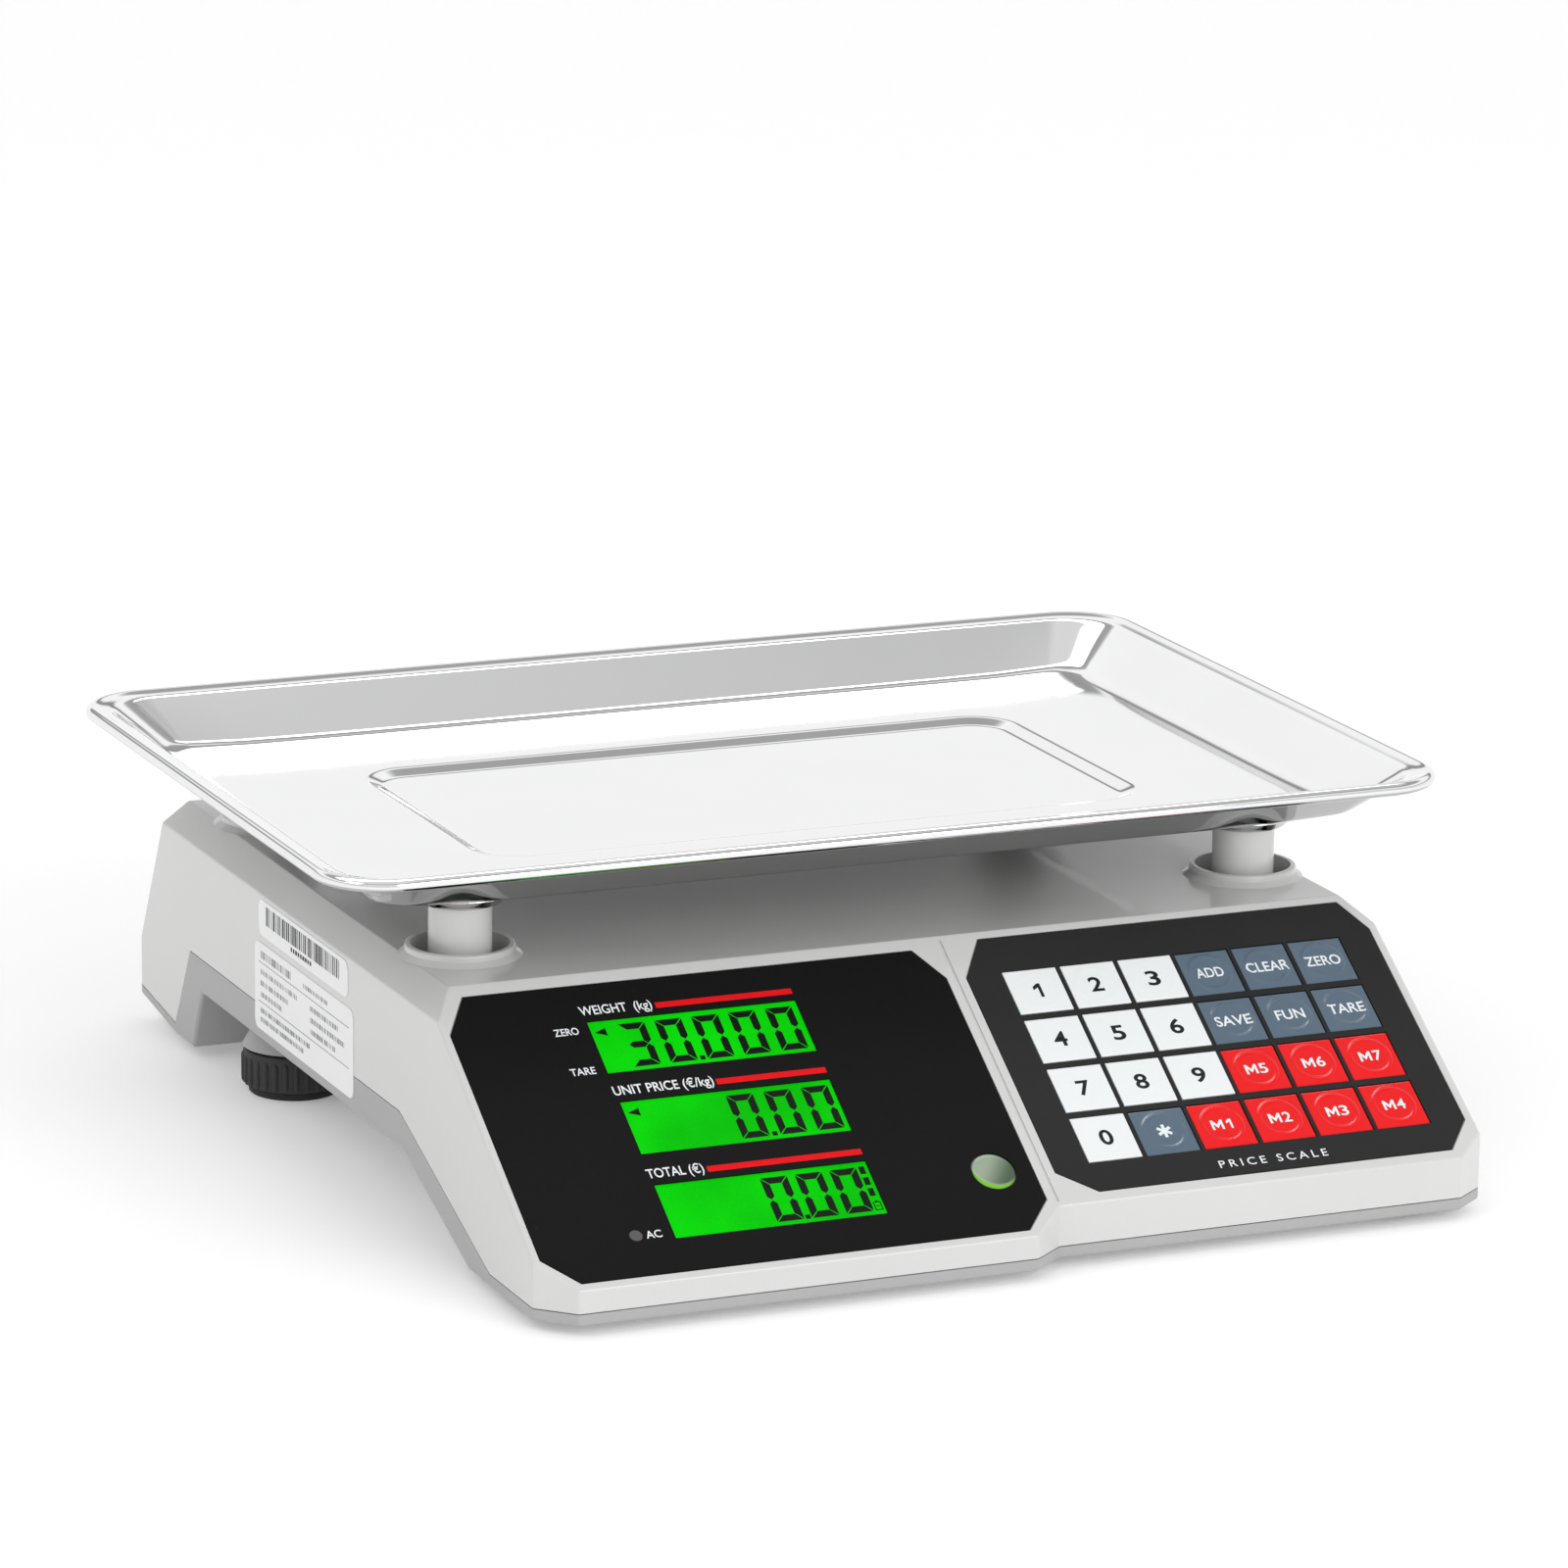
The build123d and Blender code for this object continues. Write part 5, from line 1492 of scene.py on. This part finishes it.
@dataclass
class CustomerDisplay:
    """The display on the rear slope, with the same three readings."""

    windows: tuple[float, ...] = (-80.0, 0.0, 80.0)
    window: Point2 = (58.0, 17.0)
    row: float = 28.0
    readings: tuple[tuple[tuple[float, str], ...], ...] = (
        ((9.5, "3"), (19.5, "0"), (29.5, "0"), (39.5, "0"), (49.5, "0")),
        ((29.5, "0"), (39.5, "0"), (49.5, "0")), ((29.5, "0"), (39.5, "0"), (49.5, "0")))
    captions: tuple[tuple[str, float], ...] = (("WEIGHT (kg)", 20.6), ("UNIT PRICE (€/kg)", 29.6),
                                               ("TOTAL (€)", 16.6))

    def build(self) -> None:
        """Dresses and prints the customer's display."""
        dress("rear_label", Finish.DISPLAY.material)
        dress("rear_lcds", Finish.BACKLIGHT.material)
        face = rear_panel()
        digits = Digits(width=7.2, height=13.6, stroke=1.9)
        marks, words, bars = [], [], []
        for number, (x, reading) in enumerate(zip(self.windows, self.readings)):
            left = x - self.window[0] / 2
            stop = 24.6 if number == 0 else 34.6
            for mesh in (digits.bars(reading), digits.stop(stop, 1.3)):
                mesh.transform(face.matrix(left, self.row, GLASS_TOP + 0.01))
                marks.append(mesh)
            caption, wide = self.captions[number]
            top = self.row - self.window[1] / 2
            words.append(Lettering(3.1, 0.012).on(face, caption, left, top - 4.6, wide))
            bar = rectangle(0.0, 0.0, self.window[0], 1.4, 0.03)
            bar.transform(face.matrix(left, top - 1.6, FILM_TOP + 0.005))
            bars.append(bar)
        settle(new_object("customer_segments", join_meshes(marks), Finish.SEGMENT.material), "base", "lcd")
        settle(new_object("customer_captions", join_meshes(words), Finish.WHITE_INK.material), "base",
               "display_black")
        settle(new_object("customer_red_bars", join_meshes(bars), Finish.RED_INK.material), "base",
               "display_black")


class KeyKind(Enum):
    """The three kinds of key: slot, finish, ink, letter height and ring height in mm."""

    FIGURE = ("key_white", Finish.KEY_WHITE, Finish.BLACK_INK, 5.0, 0.04)
    ACTION = ("key_slate", Finish.KEY_SLATE, Finish.WHITE_INK, 3.4, 0.34)
    MEMORY = ("key_red", Finish.KEY_RED, Finish.WHITE_INK, 3.4, 0.34)


@dataclass
class Keypad:
    """The operator's keys with their legends."""

    first: Point2 = (24.2, 15.9)
    pitch: Point2 = (18.0, 18.23)
    cap: Point2 = (16.4, 15.7)
    proud: float = 0.35
    rows: tuple[tuple[str, ...], ...] = (("1", "2", "3", "ADD", "CLEAR", "ZERO"),
                                         ("4", "5", "6", "SAVE", "FUN", "TARE"),
                                         ("7", "8", "9", "M5", "M6", "M7"),
                                         ("0", "*", "M1", "M2", "M3", "M4"))
    ring_radius: float = 6.0
    ring_width: float = 0.6
    memory_letter_x: float = -1.6
    memory_figure_x: float = 2.15
    legend_step: float = 0.6
    legend_lift: float = 0.03
    legend_widths: dict[str, float] = field(default_factory=lambda: {
        "ADD": 8.6, "CLEAR": 13.4, "ZERO": 11.2, "SAVE": 11.4, "FUN": 9.0, "TARE": 11.4,
        **{figure: 4.0 for figure in "023456789"}})

    @staticmethod
    def kind(legend: str) -> KeyKind:
        """The kind of key that carries a legend."""
        if legend.isdigit():
            return KeyKind.FIGURE
        return KeyKind.MEMORY if legend[0] == "M" else KeyKind.ACTION

    def cap_mesh(self, recipe: Recipe, ring_height: float) -> bpy.types.Mesh:
        """One key cap in the XY plane, about the key's middle.

        Args:
            recipe: The embossed cap's tree.
            ring_height: Height of its ring in mm.

        Returns:
            The cap's mesh in metres.
        """
        sizes = {"Width": self.cap[0], "Height": self.cap[1], "Top": self.proud, "Low": -0.9,
                 "Ring_Radius": self.ring_radius, "Ring_Width": self.ring_width,
                 "Ring_Height": ring_height, "Edge_Roll": 0.3, "Flange": 0.38, "Flange_Low": -1.6,
                 "Stem_Radius": 2.5, "Stem_Low": -2.1}
        mesh = recipe.run(**{key: value * MM for key, value in sizes.items()})
        tidy_mesh(mesh)
        return sharpen(mesh, 50)

    def cap_height(self, x: float, y: float, ring_height: float) -> float:
        """Height of the embossed cap's face at a place on it, all in mm."""
        reach = math.hypot(x, y)
        wall = math.exp(-((reach - self.ring_radius) / self.ring_width) ** 2)
        dish = 1.0 - min(reach / self.ring_radius, 1.0) ** 4
        return self.proud + ring_height * (wall - 1.0 + 0.35 * dish)

    def drape(self, mesh: bpy.types.Mesh, ring_height: float) -> bpy.types.Mesh:
        """Lays a flat legend over the embossed cap, in fine enough steps to follow its ring.

        Args:
            mesh: The flat legend, changed in place.
            ring_height: Height of the cap's ring in mm.

        Returns:
            The same mesh.
        """
        work = bmesh.new()
        work.from_mesh(mesh)
        for _ in range(3):
            long_edges = [edge for edge in work.edges if edge.calc_length() > self.legend_step * MM]
            bmesh.ops.subdivide_edges(work, edges=long_edges, cuts=1)
            bmesh.ops.triangulate(work, faces=work.faces)
        for vertex in work.verts:
            height = self.cap_height(vertex.co.x / MM, vertex.co.y / MM, ring_height)
            vertex.co.z += (height + self.legend_lift) * MM
        work.to_mesh(mesh)
        work.free()
        return mesh

    @staticmethod
    def star(radius: float, half: float) -> bpy.types.Mesh:
        """A six-armed asterisk in the XY plane, its sizes in mm.

        Args:
            radius: Length of an arm.
            half: Half the width of an arm.

        Returns:
            The mesh in metres.
        """
        corners = []
        for arm in range(6):
            turn = arm * math.pi / 3 + math.pi / 2
            along = Vector((math.cos(turn), math.sin(turn)))
            across = Vector((-along.y, along.x))
            inner = half / math.tan(math.pi / 6)
            corners += [along * inner - across * half, along * radius - across * half,
                        along * radius + across * half]
        return plate([(c.x * MM, c.y * MM) for c in corners], -0.015 * MM, 0.015 * MM)

    @staticmethod
    def cut_letter(corners: Sequence[Point2]) -> bpy.types.Mesh:
        """A letter cut from its corners in mm, in the XY plane."""
        return plate([(x * MM, y * MM) for x, y in corners], -0.015 * MM, 0.015 * MM)

    def figure_one(self, capital: float) -> bpy.types.Mesh:
        """The figure 1 with its flag, which the built-in face draws as a bare bar."""
        h, s = capital / 2, capital * 0.19
        return self.cut_letter([(0.1 * h, -h), (0.1 * h, h - 1.5 * s), (-0.5 * h, h - 2.4 * s),
                                (-0.5 * h, h - 1.2 * s), (0.1 * h, h), (0.1 * h + s, h), (0.1 * h + s, -h)])

    def letter_m(self, capital: float) -> bpy.types.Mesh:
        """A bold capital M, which the built-in face can't be thickened to."""
        h, w, s = capital / 2, capital * 0.54, capital * 0.21
        return self.cut_letter([(-w, -h), (-w, h), (-w + s, h), (0.0, 0.05 * h), (w - s, h), (w, h), (w, -h),
                                (w - s, -h), (w - s, 0.22 * h), (0.0, -0.72 * h), (-w + s, 0.22 * h),
                                (-w + s, -h)])

    @staticmethod
    def centred(words: str, capital: float, width: float, bold: float) -> bpy.types.Mesh:
        """Words about the origin, as wide as stated in mm."""
        mesh = Lettering(capital, bold, align="CENTER").fitted(words, width)
        mesh.transform(Matrix.Translation(Vector((0.0, -capital * MM / 2, 0.0))))
        return mesh

    def legend_mesh(self, legend: str, capital: float, ring_height: float) -> bpy.types.Mesh:
        """A key's legend about the key's middle, laid over its cap.

        Args:
            legend: The words.
            capital: Height of a capital in mm.
            ring_height: Height of the cap's ring in mm.

        Returns:
            The mesh in metres.
        """
        if legend == "*":
            mesh = self.star(2.3, 0.48)
        elif legend == "1":
            mesh = self.figure_one(capital)
        elif legend[0] == "M":
            is_one = legend[1] == "1"
            figure = self.figure_one(capital) if is_one else self.centred(legend[1], capital, 2.6, 0.014)
            letter = self.letter_m(capital)
            letter.transform(Matrix.Translation(Vector((self.memory_letter_x * MM, 0.0, 0.0))))
            figure.transform(Matrix.Translation(Vector((self.memory_figure_x * MM, 0.0, 0.0))))
            mesh = join_meshes([letter, figure])
        else:
            bold = 0.02 if legend.isdigit() else 0.014
            mesh = self.centred(legend, capital, self.legend_widths[legend], bold)
        return self.drape(mesh, ring_height)

    def build(self) -> None:
        """Makes every key and prints the overlay."""
        dress("keypad_overlay", Finish.OVERLAY.material)
        face = front_panel()
        recipe = embossed_cap()
        number = 0
        for row, legends in enumerate(self.rows):
            for column, legend in enumerate(legends):
                number += 1
                body = f"key_{number:02d}"
                slot, finish, ink, capital, ring = self.kind(legend).value
                x = self.first[0] + self.cap[0] / 2 + column * self.pitch[0]
                s = self.first[1] + self.cap[1] / 2 + row * self.pitch[1]
                mesh = self.cap_mesh(recipe, ring)
                mesh.transform(face.matrix(x, s))
                settle(new_object(f"{body}_cap", mesh, finish.material), body, slot, body)
                print_mesh = self.legend_mesh(legend, capital, ring)
                print_mesh.transform(face.matrix(x, s))
                settle(new_object(f"{body}_legend", print_mesh, ink.material), body, slot)
        title = Lettering(2.5, 0.006, spacing=1.5)
        words = title.on(face, "PRICE SCALE", 61.6, 93.6, 33.6)
        settle(new_object("keypad_title", words, Finish.WHITE_INK.material), "base", "overlay_black")


@dataclass
class LevellingFeet:
    """Ribbed foot wheels with threaded stems, on rubber soles."""

    places: dict[str, Point2] = field(default_factory=lambda: {
        "front_left": (-122.0, -133.0), "front_right": (122.0, -133.0),
        "rear_left": (-126.5, 79.2), "rear_right": (126.5, 79.2)})
    stem_tops: dict[str, float] = field(default_factory=lambda: {"front": 19.0, "rear": 26.0})
    radius: float = 15.8
    low: float = 2.3
    high: float = 13.6
    bore: float = 3.06
    bore_top: float = 6.0
    stem: float = 4.0
    thread_pitch: float = 1.25
    ribs: int = 30
    rib_radius: float = 0.95

    def wheel(self, stem_top: float) -> bpy.types.Mesh:
        """The wheel and stem as one turned solid, with the bore below.

        Args:
            stem_top: Height of the stem's top in mm.

        Returns:
            The mesh, about its own axis.
        """
        core = self.radius - self.rib_radius * 0.72
        profile = [(0.01, self.bore_top), (self.bore, self.bore_top), (self.bore, self.low + 0.3),
                   (self.bore + 0.3, self.low), (core - 1.1, self.low), (core - 0.3, self.low + 0.35),
                   (core, self.low + 1.1), (core, self.high - 1.2), (core - 0.4, self.high - 0.45),
                   (core - 1.3, self.high - 0.1), (core - 2.4, self.high), (core - 4.0, self.high),
                   (core - 4.6, self.high - 0.4), (self.stem + 2.4, self.high - 0.4),
                   (self.stem + 1.8, self.high), (self.stem, self.high)]
        z = self.high + 0.4
        while z + self.thread_pitch < stem_top - 0.4:
            profile += [(self.stem, z), (self.stem - 0.45, z + self.thread_pitch * 0.5)]
            z += self.thread_pitch
        profile += [(self.stem, z), (self.stem, stem_top - 0.5), (self.stem - 0.6, stem_top),
                    (0.01, stem_top)]
        return sharpen(turned([(r * MM, h * MM) for r, h in profile], Vector((0, 0, 0)), 96), 30)

    def build(self) -> None:
        """Makes the four feet."""
        recipe = rib_ring()
        for name, (x, y) in self.places.items():
            wheel = self.wheel(self.stem_tops[name.split("_")[0]])
            ribs = recipe.run(Count=self.ribs, Ring_Radius=(self.radius - self.rib_radius) * MM,
                              Rib_Radius=self.rib_radius * MM, Height=(self.high - self.low - 2.3) * MM,
                              Low=(self.low + 0.5) * MM)
            tidy_mesh(ribs)
            mesh = join_meshes([wheel, sharpen(ribs, 40)])
            mesh.transform(Matrix.Translation(Vector((x, y, 0)) * MM))
            obj = new_object(f"foot_wheel_{name}", mesh, Finish.KNOB.material)
            settle(obj, f"knob_{name}", "knob_plastic", f"foot_knob_{name}")
            dress(f"foot_pad_{name}", Finish.SOLE.material)


# ---- Studio ----------------------------------------------------------------------------------
@dataclass
class Studio:
    """Pale floor, soft lights, a bright room to reflect, and the camera."""

    azimuth: float = -23.60
    elevation: float = 14.29
    roll: float = 0.789
    lens: float = 173.96
    distance: float = 2197.2
    aim: tuple[float, float, float] = (0.0, 1.14, 89.4)
    slide: Point2 = (-3.62, 10.55)
    floor_size: float = 30.0
    ambient: float = 0.84
    reflected: float = 1.3
    skylight: float = 4.0
    overhead_fade: float = 0.3
    low_side_fade: float = 0.35
    bands: tuple[Point2, ...] = ((0.0, 0.8), (16.0, 0.8), (18.4, 0.2), (21.5, 0.3), (24.0, 0.8),
                                 (34.0, 0.86), (40.0, 0.35), (50.0, 0.3), (57.0, 0.66), (90.0, 0.62))

    def camera(self) -> None:
        """Places the camera."""
        a, e, r = (math.radians(v) for v in (self.azimuth, self.elevation, self.roll))
        back = Vector((math.sin(a) * math.cos(e), -math.cos(a) * math.cos(e), math.sin(e)))
        level = Vector((0, 0, 1)).cross(back).normalized()
        rise = back.cross(level)
        right = level * math.cos(r) + rise * math.sin(r)
        up = rise * math.cos(r) - level * math.sin(r)
        data = bpy.data.cameras.new("camera")
        data.lens = self.lens
        data.sensor_width = 36.0
        data.clip_start, data.clip_end = 0.05, 100.0
        camera = bpy.data.objects.new("camera", data)
        bpy.context.scene.collection.objects.link(camera)
        where = Vector(self.aim) + back * self.distance + right * self.slide[0] + up * self.slide[1]
        turn = Matrix((right, up, back)).transposed().to_4x4()
        camera.matrix_world = Matrix.Translation(where * MM) @ turn
        bpy.context.scene.camera = camera

    def floor(self) -> None:
        """Lays the pale paper."""
        half = self.floor_size / 2
        mesh = bpy.data.meshes.new("paper")
        mesh.from_pydata([(-half, -half, 0), (half, -half, 0), (half, half, 0), (-half, half, 0)], [],
                         [(0, 1, 2, 3)])
        paper = new_object("studio_floor", mesh, StudioPaper().make())

    def room(self) -> None:
        """The room's light: even for matt surfaces, in panels for what is polished."""
        world = bpy.data.worlds.new("studio_room")
        bpy.context.scene.world = world
        world.use_nodes = True
        desk = NodeDesk(world.node_tree)
        desk.tree.nodes.clear()
        x, y, z = desk.axes(desk.add("ShaderNodeTexCoord", output="Generated"))
        high = z.maths("ARCSINE") / (math.pi / 2)
        stops = [(angle / 90.0, (tone, tone, tone)) for angle, tone in self.bands]
        panels = desk.add("ShaderNodeValToRGB", {"stops": stops}, {0: high})
        shade, _, _ = desk.axes(panels)
        overhead = (z - 0.75).smooth_step(0.0, 0.12)
        shade = shade * (1.0 - overhead * x.smooth_step(0.2, 0.5) * self.overhead_fade)
        low_side = (1.0 - y.smooth_step(-0.6, 0.1)) * (1.0 - z.smooth_step(0.0, 0.35))
        shade = shade * (1.0 - low_side * self.low_side_fade)
        strip = y.smooth_step(0.25, 0.42) * (1.0 - y.smooth_step(0.6, 0.72)) * z.smooth_step(0.74, 0.82)
        shade = shade + strip * self.skylight
        seen = desk.add("ShaderNodeLightPath", output="Is Glossy Ray")
        level = self.ambient + (shade * self.reflected - self.ambient) * seen
        plain = desk.add("ShaderNodeBackground", {}, {"Color": (1.0, 1.0, 1.0, 1.0), "Strength": level})
        out = desk.tree.nodes.new("ShaderNodeOutputWorld")
        desk.tree.links.new(plain.socket, out.inputs[0])

    @staticmethod
    def lamp(name: str, where: Vector, aim: Vector, size: Point2, power: float) -> None:
        """One soft rectangular lamp.

        Args:
            name: Its name.
            where: Its place in metres.
            aim: The point it shines at.
            size: Width and height in metres.
            power: Its power in watts.
        """
        data = bpy.data.lights.new(name, "AREA")
        data.shape = "RECTANGLE"
        data.size, data.size_y = size
        data.energy = power
        obj = bpy.data.objects.new(name, data)
        bpy.context.scene.collection.objects.link(obj)
        obj.location = where
        obj.rotation_mode = "QUATERNION"
        obj.rotation_quaternion = (aim - where).to_track_quat("-Z", "Y")

    def build(self) -> None:
        """Sets up the whole studio."""
        self.camera()
        self.floor()
        self.room()
        aim = Vector((0.0, 0.0, 0.06))
        self.lamp("front_softbox", Vector((0.4, -1.9, 0.9)), aim, (1.2, 0.9), 13.0)
        self.lamp("left_softbox", Vector((-1.5, -0.3, 1.5)), aim, (0.7, 0.7), 2.5)
        view = bpy.context.scene.view_settings
        view.view_transform = "Standard"


# ---- Assembly --------------------------------------------------------------------------------
def build_all() -> None:
    """Builds and dresses every sub-assembly, in order."""
    makers: list[tuple[str, Callable[[], None]]] = [
        ("studio", Studio().build), ("housing", Housing().build), ("platform", Platform().build),
        ("weighing pan", WeighingPan.from_frame().build), ("stickers", Stickers().build),
        ("display panel", DisplayPanel().build), ("customer display", CustomerDisplay().build),
        ("keypad", Keypad().build), ("levelling feet", LevellingFeet().build)]
    for name, make in makers:
        make()
        log.info("finished the %s", name)


def main() -> None:
    """Loads the frame and builds the looks."""
    logging.basicConfig(level=logging.INFO, format="%(name)s: %(message)s")
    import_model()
    build_all()


if __name__ == "__main__":
    main()
